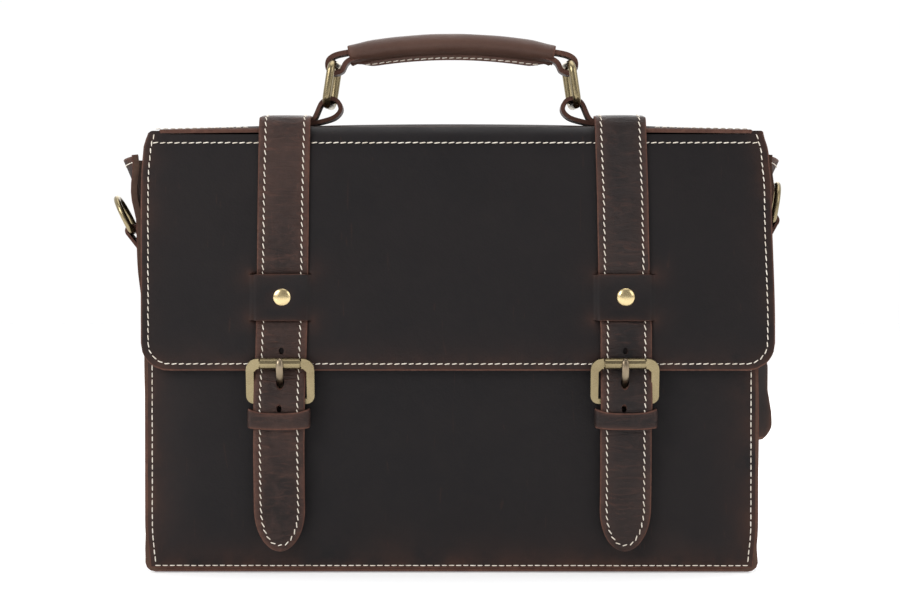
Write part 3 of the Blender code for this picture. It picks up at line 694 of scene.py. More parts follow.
def back_and_top():
    """One hide from the base up the back and over to the front-top edge, where it is cut."""
    us = stations(-1.0, 1.0, 0.034, rim=0.0055)
    rows = [[hide_point(u, y, z, u in (us[0], us[-1])) for u in us] for y, z in hide_profile()]
    piece = leather_sheet("back_and_top_leather", rows, SIDE, (0, 1, 0.3), wear_reach=0.007)
    for polygon in piece.data.polygons:
        if polygon.center.y < -0.040 and between_straps(polygon.center.x) > 0:
            polygon.material_index = 0
    place(piece, "dark_leather", None, "back_panel", "top_panel")
    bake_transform(piece)
    seams = [[((x * panel_width(z), BACK_Y, z), (0, 1, 0)) for z in spread(0.008, 0.250)]
             for x in seam_columns()]
    seams.append([((x, BACK_Y - 0.0004, 0.0046), (0, 1, 0)) for x in bottom_seam()])
    place(stitches("back_panel_stitches", seams, 0.0, 13), "dark_leather", "body")
    y = TOP_FRONT_Y + 0.0040
    seams = [[((x, y, TOP_Z + top_dome(x, y) + 0.0001), (0, -0.3, 1)) for x in spread(start, end)]
             for start, end in ((-0.182, -0.124), (0.182, 0.124))]
    place(stitches("top_edge_stitches", seams, 0.0, 14), "dark_leather", "top")


# ---- flap
FLAP_MIDDLE = (FLAP_LOW.x + FLAP_HIGH.x) / 2
FLAP_HALF = (FLAP_HIGH.x - FLAP_LOW.x) / 2
SLIT_HALF = STRAP_HALF + 0.0030
FLAP_RADIUS = 0.017
FLAP_TOP_SEAM = 0.2640
ROLL_RADIUS = 0.0112


def flap_edge(sign, z):
    """Where the flap's side edge runs at a height: it draws in towards the fold, more on the right."""
    if sign < 0:
        drawn_in = 0.0003 * smoothstep(z, 0.22, 0.245) + 0.0015 * smoothstep(z, 0.242, 0.264)
        return FLAP_LOW.x + drawn_in + 0.0030 * smoothstep(z, 0.2600, 0.2715) ** 1.3
    drawn_in = 0.0022 * smoothstep(z, 0.150, 0.235) + 0.0018 * smoothstep(z, 0.235, 0.258)
    return FLAP_HIGH.x + 0.0018 - drawn_in - 0.0036 * smoothstep(z, 0.2560, 0.2715) ** 1.2


def flap_x(x, z):
    """Move a place near the flap's sides with its edge."""
    sign = -1 if x < FLAP_MIDDLE else 1
    nominal = FLAP_LOW.x if sign < 0 else FLAP_HIGH.x
    return x + (flap_edge(sign, z) - nominal) * smoothstep(abs(x - FLAP_MIDDLE), 0.130, 0.190)


def strap_window(x):
    """1 over a strap, falling to 0 at the ends of its slits."""
    return max(smoothstep(SLIT_HALF - abs(x - strap), 0.0, 0.0032) for strap in STRAP_X.values())


def flap_lift(x, z):
    """How far the flap's face stands forward of its plane."""
    lift = 0.0004 * math.sin(15 * x + 0.4) * math.sin(23 * z)
    window = strap_window(x)
    if LOWER_SLIT <= z <= UPPER_SLIT and window:
        middle = (LOWER_SLIT + UPPER_SLIT) / 2
        away = abs(z - middle) / ((UPPER_SLIT - LOWER_SLIT) / 2)
        lift += window * (0.0019 + 0.0011 * away ** 2)
    return lift


def lip_dip(x, z):
    """The flap's lips above the upper and below the lower slit press in under the strap."""
    window = strap_window(x)
    above = math.exp(-max(z - UPPER_SLIT, 0) / 0.004) if z > UPPER_SLIT else 0.0
    below = math.exp(-max(LOWER_SLIT - z, 0) / 0.004) if z < LOWER_SLIT else 0.0
    return 0.0013 * window * max(above, below)


def flap_face(x, z):
    """The flap's grain side; between the straps its top rows roll back over the bag's edge."""
    middle = between_straps(x)
    over = max(z - FLAP_TOP_SEAM, 0.0) / 0.0052
    turn = math.radians(62) * over
    away = abs(x - FLAP_MIDDLE)
    corner = smoothstep(away, 0.1770, 0.1810) * (1 - 0.9 * smoothstep(away, 0.1862, 0.1900))
    back = middle * ROLL_RADIUS * (1 - math.cos(turn)) + (1 - middle) * 0.0010 * over ** 2
    rise = middle * (ROLL_RADIUS * math.sin(turn) - 0.0052 * over) + 0.0022 * corner * over ** 1.5
    return Vector((x, FLAP_LOW.y - flap_lift(x, z) + back, z + rise))


def flap_levels():
    """The flap's grid heights.  A slit has two rows, its lower and its upper lip."""
    heights = stations(FLAP_LOW.z, FLAP_HIGH.z, 0.005, SLITS, 0.0012, 0.006)
    for slit in SLITS:
        nearest = min(range(len(heights)), key=lambda k: abs(heights[k] - slit))
        heights[nearest] = slit
    levels = []
    for z in heights:
        levels.append((z, False))
        if z in SLITS:
            levels.append((z, True))
    return levels


def flap_point(u, z, upper_lip, at_border):
    """A place on the flap's grain side, u across and z up its grid."""
    corner = max(abs(u) - (FLAP_HALF - FLAP_RADIUS), 0.0)
    rise = FLAP_RADIUS - math.sqrt(max(FLAP_RADIUS ** 2 - corner ** 2, 0.0))
    level = z + rise * (FLAP_HIGH.z - z) / (FLAP_HIGH.z - FLAP_LOW.z)
    x = flap_x(FLAP_MIDDLE + u, level)
    point = flap_face(x, level)
    if z not in SLITS:
        point.y += lip_dip(x, level)
    elif strap_window(x) > 0:
        up = 1 if z == UPPER_SLIT else -1
        if (up > 0) != upper_lip:
            point.z -= 0.0003 * up
        else:
            point.y += flap_lift(x, level) + 0.0013 * strap_window(x)
            point.z += 0.0002 * up
    if at_border:
        point.y += 0.0008
    return point


def flap_wear(x, z, border):
    """The flap is rubbed along its border, along its slits, at their ends and round its rivets."""
    slit = near_end = near_rivet = 1.0
    for strap in STRAP_X.values():
        near_rivet = min(near_rivet, math.hypot(x - strap, z - RIVET["left"].z))
        for level in SLITS:
            past_end = abs(x - strap) - SLIT_HALF
            slit = min(slit, math.hypot(max(past_end, 0), z - level))
            near_end = min(near_end, math.hypot(past_end, z - level))
    return max(math.exp(-border / 0.006), 0.75 * math.exp(-slit / 0.0016), 0.95 * math.exp(-near_end / 0.004),
               0.35 * math.exp(-max(near_rivet - 0.005, 0) / 0.0015))


def flap():
    """The flap in one sheet: its slit rows are joined again wherever no strap passes."""
    us = stations(-FLAP_HALF, FLAP_HALF, 0.0052,
                  [STRAP_X[side] - FLAP_MIDDLE + end for side in SIDES for end in (-SLIT_HALF, SLIT_HALF)]
                  + [-FLAP_HALF, FLAP_HALF], 0.0011, 0.0075)
    levels = flap_levels()
    grid = np.array([[flap_point(u, z, upper_lip, i == 0 or u in (us[0], us[-1])) for u in us]
                     for i, (z, upper_lip) in enumerate(levels)], float)
    border = grid_distances(grid, False, "lrt")
    bm = bmesh.new()
    wear_layer = bm.verts.layers.float.new("wear")
    verts = [[bm.verts.new(point) for point in row] for row in grid]
    for i, row in enumerate(verts):
        for j, vert in enumerate(row):
            vert[wear_layer] = flap_wear(grid[i, j][0], grid[i, j][2], border[i, j])
    joined = {}
    for i, (lower, upper) in enumerate(zip(verts, verts[1:])):
        if levels[i][0] == levels[i + 1][0]:
            joined.update({a: b for a, b, spot in zip(lower, upper, grid[i]) if strap_window(spot[0]) <= 0})
            continue
        join_rings(bm, [lower, upper], closed=False)
        bm.faces.ensure_lookup_table()
        cells = len(us) - 1
        for j, face in enumerate(bm.faces[-cells:]):
            if i == 0 or j in (0, cells - 1):
                face.material_index = 2
    bmesh.ops.weld_verts(bm, targetmap=joined)
    bmesh.ops.recalc_face_normals(bm, faces=bm.faces)
    bm.faces.ensure_lookup_table()
    if sum(face.normal.y * face.calc_area() for face in bm.faces) > 0:
        bmesh.ops.reverse_faces(bm, faces=bm.faces)
    piece = from_bmesh(bm, "flap_leather", [PANEL, FLESH, RAW], turn_out=False)
    thicken(piece, LEATHER)
    place(piece, "dark_leather", None, "flap")
    blend_flap(piece)


def blend_flap(piece):
    """Bake the piece's transform into its mesh."""
    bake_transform(piece)


def flap_stitches():
    """One seam down the left side, along the lower edge and up the right, and one along the top."""
    inset = 0.0046
    radius = FLAP_RADIUS - inset + 0.0006
    low = FLAP_LOW.z + 0.0042
    sides = {}
    for sign in (-1, 1):
        heights = np.arange(FLAP_HIGH.z - 0.0010, low + radius, -0.004)
        corner = flap_edge(sign, low) - sign * (inset + radius)
        turn = arc((0, low + radius), radius, [-90 * k / 8 for k in range(1, 9)])
        sides[sign] = [(flap_edge(sign, z) - sign * inset, z) for z in heights] \
            + [(corner + sign * x, z) for x, z in turn]
    path = densify([(x, z, 0) for x, z in sides[-1] + sides[1][::-1]], 0.004)
    across = spread(flap_edge(-1, FLAP_TOP_SEAM) + inset, flap_edge(1, FLAP_TOP_SEAM) - inset)
    seams = [[(flap_face(p.x, p.y), (0, -1, 0)) for p in path],
             [(flap_face(x, FLAP_TOP_SEAM), (0, -1, 0)) for x in across]]
    row = stitches("flap_stitches", seams, 0.14, 21)
    place(row, "dark_leather", None)
    blend_flap(row)


# ---- straps
STRAP_LEATHER = {"left": STRAP, "right": STRAP_DARK}
STITCH_INSET = 0.0040
STRAP_SLANT = 0.30
FRONT_CENTRE = STRAP_FRONT_Y + LEATHER / 2
TUCKED = FLAP_HIGH.y + GAP + LEATHER / 2
STRAP_COLUMNS = (-1, -0.955, -0.88, -0.80, -0.745, -0.69, -0.56, -0.36, -0.18, 0, 0.18, 0.36, 0.56, 0.69,
                 0.745, 0.80, 0.88, 0.955, 1)
# Heights on the front, each with how far the strap's middle lies to the right there.
STRAP_LINE = {
    "left": [(0.014, -0.0003), (0.050, -0.0009), (0.080, -0.0012), (0.120, -0.0004), (0.150, 0.0006),
             (0.186, 0.0010), (0.230, 0.0017), (0.275, 0.0028)],
    "right": [(0.014, 0.0002), (0.050, 0.0006), (0.080, 0.0006), (0.120, 0.0010), (0.150, 0.0012),
              (0.186, -0.0002), (0.230, -0.0011), (0.275, -0.0028)],
}


def strap_sway(side, point):
    """How far the strap has slid sideways: neither lies quite straight."""
    heights, shifts = zip(*STRAP_LINE[side])
    front = smoothstep(-point.y, -0.020, 0.045)
    return float(np.interp(point.z, heights, shifts)) * front


def strap_profile(u, half):
    """Rise of the strap's grain side across its width: crowned, with two stitch grooves."""
    away = abs(u) * half
    groove = math.exp(-((away - (half - STITCH_INSET)) / 0.0009) ** 2)
    edge = max(away - (half - 0.0016), 0) / 0.0016
    return 0.0003 * (1 - u * u) - 0.00028 * groove - 0.0006 * edge ** 2


def outward_normals(path, hint):
    """Normals in the y-z plane, turned to the side that hint(point) points to."""
    normals = []
    for i, point in enumerate(path):
        before = path[max(i - 1, 0)]
        after = path[min(i + 1, len(path) - 1)]
        along = (after - before).normalized()
        normal = Vector((0, along.z, -along.y))
        normals.append(normal if normal.dot(hint(point)) > 0 else -normal)
    return normals


def punch(obj, places):
    """Cut round holes: each place is (centre, direction, radius, lengthening)."""
    for centre, direction, radius, longer in places:
        bm = bmesh.new()
        bmesh.ops.create_cone(bm, cap_ends=True, segments=20, radius1=radius, radius2=radius, depth=0.012)
        for vert in bm.verts:
            vert.co.y *= longer
        bm.transform(Vector((0, 0, 1)).rotation_difference(Vector(direction)).to_matrix().to_4x4())
        bmesh.ops.translate(bm, vec=centre, verts=bm.verts)
        cutter = from_bmesh(bm, "punch", [RAW], turn_out=False)
        hole = obj.modifiers.new("hole", "BOOLEAN")
        hole.operation = "DIFFERENCE"
        hole.solver = "EXACT"
        hole.object = cutter
        hole.material_mode = "TRANSFER"
        settle(obj)
        bpy.data.objects.remove(cutter)


def strap_piece(names, side, path, half_at, raw, hint, buried, seed, holes=(), row_at=None):
    """A strap along a centre line in the y-z plane, and its two rows of stitches.

    names are those of the leather and of the stitches.  buried gives the lengths at the start and
    end with no stitches.  row_at gives the rows' distance from the middle; where it is given, the
    two rows meet at the tip.
    """
    middle = STRAP_X[side]
    seed += SIDES[side]
    path = densify([(0, y, z) for y, z in path], 0.0015)
    normals = outward_normals(path, hint)
    phase = random.Random(seed).uniform(0, 6)
    rows = []
    for point, normal in zip(path, normals):
        half = half_at(point)
        wander = 0.00020 * math.sin(31 * point.z + 17 * point.y + phase) + strap_sway(side, point)
        rows.append([point + normal * (LEATHER / 2 + strap_profile(u, half))
                     + Vector((middle + u * half + wander, 0, 0)) for u in STRAP_COLUMNS])
    piece = leather_sheet(names[0] + side, rows, STRAP_LEATHER[side], hint(path[len(path) // 2]), raw=raw,
                          wear_reach=0.0032)
    punch(piece, holes)
    place(piece, "strap_leather", None)
    run = [0.0]
    for a, b in zip(path, path[1:]):
        run.append(run[-1] + (b - a).length)
    rise = LEATHER / 2 + strap_profile(1 - STITCH_INSET / STRAP_HALF, STRAP_HALF) + 0.0001
    seams = []
    for sign in (-1, 1):
        seam = []
        for here, point, normal in zip(run, path, normals):
            away = row_at(point) if row_at else half_at(point) - STITCH_INSET
            if buried[0] <= here <= run[-1] - buried[1] and away > 0:
                x = middle + strap_sway(side, point) + sign * away
                seam.append((point + normal * rise + Vector((x, 0, 0)), normal))
        seams.append(seam)
    if row_at:
        seams = [seams[0] + seams[1][::-1]]
    row = stitches(names[1] + side, seams, STRAP_SLANT, seed + 10)
    place(row, "strap_leather", None)
    return piece, row


def strap_top_z(y):
    """Centre height of a strap running over the domed top."""
    return 0.2772 + 0.0050 * math.sin(math.pi * share(y, -0.052, 0.044))


def turned_corner(points, radius):
    """The (y, z) points of a rounded corner, after its first."""
    return [(p.y, p.z) for p in rounded_path([(0, y, z) for y, z in points], radius, 8)[1:]]


def strap_over_back(side):
    back = BACK_Y + GAP + LEATHER / 2
    path = [(back, 0.190), (back, 0.262)]
    path += turned_corner([(back, 0.262), (back, 0.2766), (0.034, 0.2766)], 0.013)
    path += [(y, strap_top_z(y)) for y in (0.026, 0.018, 0.009, 0.0)]

    def half_at(point):
        t = 1 - share(point.z, 0.190, 0.2045) if point.y > 0.04 else 0.0
        return STRAP_HALF * math.sqrt(max(1 - t ** 2, 0.02))

    pair = strap_piece(("strap_over_back_", "strap_over_back_stitches_"), side, path, half_at, "lrt",
                       lambda p: Vector((0, 1, 1)), (0.008, 0.0), 31)
    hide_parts("strap_back_" + side)
    for obj in pair:
        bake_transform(obj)


def strap_over_front(side):
    path = [(y, strap_top_z(y)) for y in (0.0, -0.010, -0.020, -0.030, -0.036)]
    path += turned_corner([path[-1], (FRONT_CENTRE, 0.2792), (FRONT_CENTRE, 0.258)], 0.0085)
    path += [(FRONT_CENTRE, z) for z in (0.250, 0.230, 0.205, 0.1925)]
    path += [(FRONT_CENTRE + 0.0003, UPPER_SLIT + 0.0045), (FRONT_CENTRE + 0.0016, UPPER_SLIT + 0.0010),
             (FRONT_CENTRE + 0.0034, UPPER_SLIT - 0.0030), (TUCKED, UPPER_SLIT - 0.0070),
             (TUCKED, 0.1725)]
    pair = strap_piece(("strap_over_front_", "strap_over_front_stitches_"), side, path, lambda p: STRAP_HALF,
                       "lr", lambda p: Vector((0, -1, 0.6)), (0.0, 0.009), 51)
    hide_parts("strap_top_" + side, "strap_flap_" + side)
    for obj in pair:
        blend_flap(obj)


TIP_Z = 0.0139


def tongue_half(point):
    """Half the tongue's width: it ends in a long round tip."""
    above = share(point.z, TIP_Z, TIP_Z + 0.0260)
    return max(STRAP_HALF * math.sqrt(1 - (1 - above) ** 2), 0.0006)


def tongue_row(point):
    """The stitch rows' distance from the middle, nothing below the place where they meet."""
    above = min((point.z - 0.0172) / 0.0225, 1)
    return (STRAP_HALF - 0.0043) * math.sqrt(1 - (1 - above) ** 2) if above > 0 else 0.0


def strap_tongue(side):
    middle = STRAP_X[side]
    path = [(TUCKED, 0.1665), (TUCKED, LOWER_SLIT + 0.0070), (FRONT_CENTRE + 0.0034, LOWER_SLIT + 0.0030),
            (FRONT_CENTRE + 0.0014, LOWER_SLIT - 0.0010), (FRONT_CENTRE + 0.0002, LOWER_SLIT - 0.0050),
            (FRONT_CENTRE, 0.146), (FRONT_CENTRE, 0.132), (FRONT_CENTRE - 0.0004, 0.1268),
            (-0.0556, 0.1175), (-0.0577, 0.1105), (-0.0583, 0.1062), (-0.0577, 0.1030),
            (-0.0556, 0.0992), (-0.0540, 0.0940), (-0.0534, 0.0850), (-0.0533, 0.0700),
            (-0.0516, 0.0500), (-0.0509, 0.0340)]
    curl = 0.0015 if side == "left" else 0.0005
    path += [(-0.0507 - curl * 0.3, 0.0240), (-0.0506 - curl * 0.8, 0.0165), (-0.0506 - curl * 0.85, 0.0158)]
    path += [(-0.0506 - curl * 0.9, z) for z in (0.0152, 0.0148, 0.0144, 0.0141, TIP_Z)]
    holes = [((middle + 0.0005, FRONT_CENTRE, 0.1367), (0, -1, 0), 0.0016, 1.3),
             ((middle, -0.0560, 0.1178), (0, -0.94, -0.34), 0.0025, 1.5),
             ((middle - 0.0006, -0.0566, 0.1010), (0, -0.9, 0.4), 0.0016, 1.2)]
    pair = strap_piece(("strap_tongue_leather_", "strap_tongue_stitches_"), side, path, tongue_half, "lrb",
                       lambda p: Vector((0, -1, 0)), (0.009, 0.0), 71, holes, tongue_row)
    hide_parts("strap_tongue_" + side)
    for obj in pair:
        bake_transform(obj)


def keeper(side):
    """The leather loop that holds the strap's tail."""
    low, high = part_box("keeper_" + side)
    middle = STRAP_X[side] + strap_sway(side, Vector((0, low.y, 0.094)))
    half_x, half_y = 0.0189, (high.y - low.y) / 2
    centre_y = (high.y + low.y) / 2
    outline = rounded_outline(half_x, half_y, 0.0026, 6, 0.003)
    rows = []
    for z in stations(low.z, high.z, 0.0013, rim=0.0009):
        t = (z - low.z) / (high.z - low.z)
        swell = 0.0003 * math.sin(math.pi * t) - (0.0004 if t in (0.0, 1.0) else 0)
        row = []
        for x, y in outline:
            away = Vector((x, y * half_x / half_y, 0)).normalized()
            tilt = (0.0012 + 0.0016 * t) * (abs(x) / half_x) ** 3 - 0.0012 * t
            row.append(Vector((middle + x, centre_y + y, z + tilt)) + away * swell)
        rows.append(row)
    piece = leather_sheet("keeper_leather_" + side, rows, STRAP_LEATHER[side],
                          lambda c: Vector((c.x - middle, 3 * (c.y - centre_y), 0)), 0.0017, "tb",
                          closed_rows=True, wear_reach=0.0014)
    place(piece, "strap_leather", "tongue_" + side, "keeper_" + side)


# ---- metal
def wire_mesh(name, points, radius, mat, sides=20):
    """A closed wire through points."""
    points = [Vector(point) for point in points]
    bm = bmesh.new()
    count = len(points)
    centre = sum(points, Vector()) / count
    flat = Vector()
    for a, b in zip(points, points[1:] + points[:1]):
        flat += (a - centre).cross(b - centre)
    flat.normalize()
    rings = []
    for i, point in enumerate(points):
        along = (points[(i + 1) % count] - points[i - 1]).normalized()
        out = along.cross(flat).normalized()
        rings.append([bm.verts.new(point + out * (radius * math.cos(2 * math.pi * k / sides))
                                   + flat * (radius * math.sin(2 * math.pi * k / sides)))
                      for k in range(sides)])
    join_rings(bm, rings + rings[:1])
    return from_bmesh(bm, name, [mat])


def loop_points(corners, radius, steps=7):
    """A closed polygon with rounded corners."""
    corners = [Vector(corner) for corner in corners]
    count = len(corners)
    path = []
    for i, corner in enumerate(corners):
        before, after = corners[i - 1], corners[(i + 1) % count]
        start = corner + (before - corner).normalized() * radius
        end = corner + (after - corner).normalized() * radius
        for k in range(steps + 1):
            angle = math.pi / 2 * k / steps
            centre = start + end - corner
            path.append(centre + (start - centre) * math.cos(angle) + (end - centre) * math.sin(angle))
    return path


RING_FOOT = (0.0775, 0.2903)
RING_SIZE = 0.026
RING_LEAN = math.radians(8.6)
RING_YAW = math.radians(7)


def handle_ring(side):
    """An oblong ring that stands in its loop, leaning in and turned a little."""
    sign = SIDES[side]
    half = RING_SIZE / 2
    lean, yaw = -sign * RING_LEAN, sign * RING_YAW
    points = []
    corners = [(0, -half, 0), (0, half, 0), (0, half, RING_SIZE), (0, -half, RING_SIZE)]
    for point in loop_points(corners, 0.006):
        x = point.z * math.sin(lean)
        points.append((sign * RING_FOOT[0] + x * math.cos(yaw) - point.y * math.sin(yaw),
                       x * math.sin(yaw) + point.y * math.cos(yaw), RING_FOOT[1] + point.z * math.cos(lean)))
    ring = wire_mesh("handle_ring_wire_" + side, points, 0.0025, BRASS)
    place(ring, "brass", "ring_" + side, "handle_ring_" + side)


# The middle of each D-ring's bar, and how far the ring leans to the right.
D_BAR = {"left": (-0.2010, 0.211, math.radians(-27)), "right": (0.2016, 0.2175, math.radians(10))}


def d_ring(side):
    x, z, lean = D_BAR[side]
    outline = [(-0.011, 0), (0.011, 0)]
    outline += arc((0.011, 0.003), 0.003, (-60, -30, 0))
    outline += arc((0, 0.009), 0.014, range(0, 181, 6))
    outline += arc((-0.011, 0.003), 0.003, (180, 210, 240))
    points = [(x + v * math.sin(lean), u, z + v * math.cos(lean)) for u, v in outline]
    ring = wire_mesh("d_ring_wire_" + side, points, 0.002, BRASS)
    place(ring, "brass", "d_ring_body_" + side, "d_ring_" + side)


# The prong's middle line as (y, z, width share), from its tip on the roller down through the hole.
PRONG_LINE = ((-0.0597, 0.1321, 0.30), (-0.0608, 0.1318, 0.62), (-0.0617, 0.1308, 0.85),
              (-0.0622, 0.1292, 0.95), (-0.0621, 0.1265, 1.0), (-0.0615, 0.1238, 1.0),
              (-0.0603, 0.1214, 1.0), (-0.0584, 0.1194, 0.95), (-0.0562, 0.1178, 0.75),
              (-0.0539, 0.1161, 0.65), (-0.0527, 0.1125, 0.65), (-0.0525, 0.1093, 0.65))
PRONG_SIDES = 16


def prong(side):
    """The pin: a rounded tongue that lies on the roller and dives through the strap's hole."""
    middle = STRAP_X[side]
    bm = bmesh.new()
    rings = []
    for k, (y, z, wide) in enumerate(PRONG_LINE):
        before, after = PRONG_LINE[max(k - 1, 0)], PRONG_LINE[min(k + 1, len(PRONG_LINE) - 1)]
        along = Vector((0, after[0] - before[0], after[1] - before[1])).normalized()
        normal = Vector((0, along.z, -along.y))
        section = arc((0, 0), 1, [360 * m / PRONG_SIDES for m in range(PRONG_SIDES)])
        rings.append([bm.verts.new(Vector((middle + 0.0023 * wide * across, y, z))
                                   + normal * (0.0012 * (0.5 + 0.5 * wide) * up)) for across, up in section])
    join_rings(bm, rings)
    bm.faces.new(rings[0])
    bm.faces.new(rings[-1])
    pin = from_bmesh(bm, "prong_pin_" + side, [TARNISHED])
    smooth = pin.modifiers.new("smooth", "SUBSURF")
    smooth.levels = smooth.render_levels = 2
    settle(pin)
    eye = [(middle, y, z) for y, z in arc((-0.0525, 0.1062), 0.0031, range(0, 360, 15))]
    ring = wire_mesh("prong_eye_" + side, eye, 0.0010, TARNISHED, 12)
    place(pin, "brass", "prong_body_" + side, "prong_" + side)
    place(ring, "brass", "prong_body_" + side)


# (radius, height) of the rivet's dome, from its top down to its rim and in underneath.
RIVET_PROFILE = ((0.0, 0.0022), (0.0016, 0.00215), (0.0032, 0.0019), (0.0044, 0.0015), (0.0052, 0.0010),
                 (0.0056, 0.0005), (0.0057, 0.0001), (0.0054, -0.0001), (0.0050, 0.0))


def rivet_cap(side):
    """The domed cap of the rivet on the flap."""
    x, z = RIVET[side].x + 0.0008, RIVET[side].z
    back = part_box("rivet_cap_" + side)[0].y + 0.0020
    bm = bmesh.new()
    rings = [[bm.verts.new((px, back - height, pz)) for px, pz in arc((x, z), radius, range(0, 360, 9))]
             for radius, height in RIVET_PROFILE[1:]]
    top = bm.verts.new((x, back - RIVET_PROFILE[0][1], z))
    for first, second in zip(rings[0], rings[0][1:] + rings[0][:1]):
        bm.faces.new((top, first, second)).smooth = True
    join_rings(bm, rings)
    bm.faces.new(rings[-1])
    place(from_bmesh(bm, "rivet_dome_" + side, [BRIGHT]), "bright_brass", "flap", "rivet_cap_" + side)


# ---- handle
GRIP_END = (0.0648, 0.3222)
GRIP_RISE = 0.0065


GRIP_FLANGE, GRIP_LIP = 0.0030, 0.0013


def grip_centre(x):
    """The arched grip's centre and its upward direction."""
    radius = (GRIP_END[0] ** 2 + GRIP_RISE ** 2) / (2 * GRIP_RISE)
    angle = math.asin(x / radius)
    z = GRIP_END[1] + GRIP_RISE - radius * (1 - math.cos(angle))
    return Vector((x, 0, z)), Vector((math.sin(angle), 0, math.cos(angle)))


def grip_half(x):
    """Half width and half height of the grip, slimmer towards its ends."""
    end = smoothstep(abs(x), 0.048, 0.0615)
    return 0.0100 * (1 - 0.10 * end), 0.0068 * (1 - 0.12 * end)


def flange_point(x, side, depth):
    """A place on one side of the sewn flange, depth below the grip."""
    centre, up = grip_centre(x)
    return centre + up * (-grip_half(x)[1] * 0.98 - depth) + Vector((0, side * GRIP_LIP, 0))


def handle_cover():
    """Leather wrapped round a core; its two edges meet in a sewn flange underneath."""
    outline = arc((0, 0), 1, [-90 + 11 + (360 - 22) * k / 32 for k in range(33)])
    rows = []
    xs = stations(-GRIP_END[0], GRIP_END[0], 0.0030, rim=0.0011)
    for x in xs:
        centre, up = grip_centre(x)
        half_y, half_z = grip_half(x)
        pinch = 0.94 if x in (xs[0], xs[-1]) else 1.0
        ripple = 1 + 0.012 * math.sin(210 * x + 1.0) * math.sin(83 * x)
        deep = GRIP_FLANGE * (1 - 0.75 * smoothstep(abs(x), 0.050, 0.0615))
        depths = (deep, deep - 0.0004, deep * 0.55)
        row = [flange_point(x, 1, depth) for depth in depths]
        row += [centre + up * (half_z * cz * pinch * ripple) + Vector((0, half_y * cy * pinch, 0))
                for cy, cz in outline]
        rows.append(row + [flange_point(x, -1, depth) for depth in reversed(depths)])
    piece = leather_sheet("handle_cover_leather", rows, GRIP, lambda c: c - grip_centre(c.x)[0], 0.0011,
                          wear_reach=0.003)
    place(piece, "handle_leather", "handle", "handle_cover")
    xs = stations(-0.0565, 0.0565, 0.004)
    seams = [[(flange_point(x, side, GRIP_FLANGE * 0.62), (0, side, 0)) for x in xs] for side in (-1, 1)]
    place(stitches("handle_stitches", seams, 0.1, 91), "handle_leather", "handle")


def curve_through(points, step):
    """A smooth (Catmull-Rom) curve through points in the x-z plane."""
    points = [Vector((x, 0, z)) for x, z in points]
    padded = [2 * points[0] - points[1]] + points + [2 * points[-1] - points[-2]]
    curve = []
    for a, b, c, d in zip(padded, padded[1:], padded[2:], padded[3:]):
        for k in range(8):
            t = k / 8
            curve.append(0.5 * (2 * b + (c - a) * t + (2 * a - 5 * b + 4 * c - d) * t * t
                                + (3 * b - a - 3 * c + d) * t ** 3))
    curve.append(points[-1])
    return densify(curve, step)


def eye_strip(name, sign, bar, line, width, thickness, body, *nodes):
    """A strip looped round a ring's bar: line runs along its outer face, seen for the right side."""
    eye = Vector((sign * bar[0], 0, bar[1]))
    path = [Vector((sign * p.x, 0, p.z)) for p in curve_through(line, 0.0014)]
    rows = []
    for k, point in enumerate(path):
        before, after = path[max(k - 1, 0)], path[min(k + 1, len(path) - 1)]
        along = (after - before).normalized()
        normal = Vector((-along.z, 0, along.x)) * sign
        rows.append([point + Vector((0, u * width / 2, 0)) - normal * (0.0004 * u ** 4)
                     for u in (-1, -0.92, -0.8, -0.5, -0.2, 0.2, 0.5, 0.8, 0.92, 1)])
    piece = leather_sheet(name, rows, LOOP, lambda c: (c - eye) * (1 if (c - eye).length < 0.012 else 0),
                          thickness, wear_reach=0.003)
    place(piece, "strap_leather", body, *nodes)


def handle_loops():
    """The strips that hold the rings: one at each end of the grip and two on the bag's top."""
    for side, sign in SIDES.items():
        top_x = RING_FOOT[0] - RING_SIZE * math.sin(RING_LEAN)
        top_z = RING_FOOT[1] + RING_SIZE * math.cos(RING_LEAN)
        line = [(GRIP_END[0] - 0.011, top_z + 0.0104), (GRIP_END[0] + 0.0012, top_z + 0.0092),
                (top_x + 0.0012, top_z + 0.0070), (top_x + 0.0058, top_z + 0.0028),
                (top_x + 0.0056, top_z - 0.0036), (top_x + 0.0006, top_z - 0.0074),
                (top_x - 0.0056, top_z - 0.0052), (GRIP_END[0] - 0.0006, top_z + 0.0006),
                (GRIP_END[0] - 0.011, top_z + 0.0040)]
        eye_strip("handle_loop_leather_" + side, sign, (top_x, top_z), line, 0.0144, 0.0030, "handle",
                  "handle_loop_" + side)
        x, z = RING_FOOT
        floor = TOP_Z + top_dome(0.098, 0)
        line = [(0.0965, floor + 0.0030), (0.0915, floor + 0.0032), (x + 0.0098, floor + 0.0050),
                (x + 0.0050, z + 0.0018), (x - 0.0010, z + 0.0048), (x - 0.0066, z + 0.0026),
                (x - 0.0084, z - 0.0034), (x - 0.0040, z - 0.0086), (x + 0.0050, floor + 0.0014),
                (0.0900, floor + 0.0002), (0.0965, floor)]
        eye_strip("handle_anchor_leather_" + side, sign, (x, z), line, 0.018, 0.0025, "top",
                  "handle_anchor_" + side)


TAB_SKIN = 0.0018
TAB_HALF = 0.011
# The right tab's loose end: how far it stands off the side at each height.
TAB_HEIGHTS = (0.079, 0.086, 0.096, 0.110, 0.125, 0.138, 0.150, 0.160)
TAB_LIFT = (0.0140, 0.0155, 0.0150, 0.0128, 0.0128, 0.0095, 0.0035, 0.0)


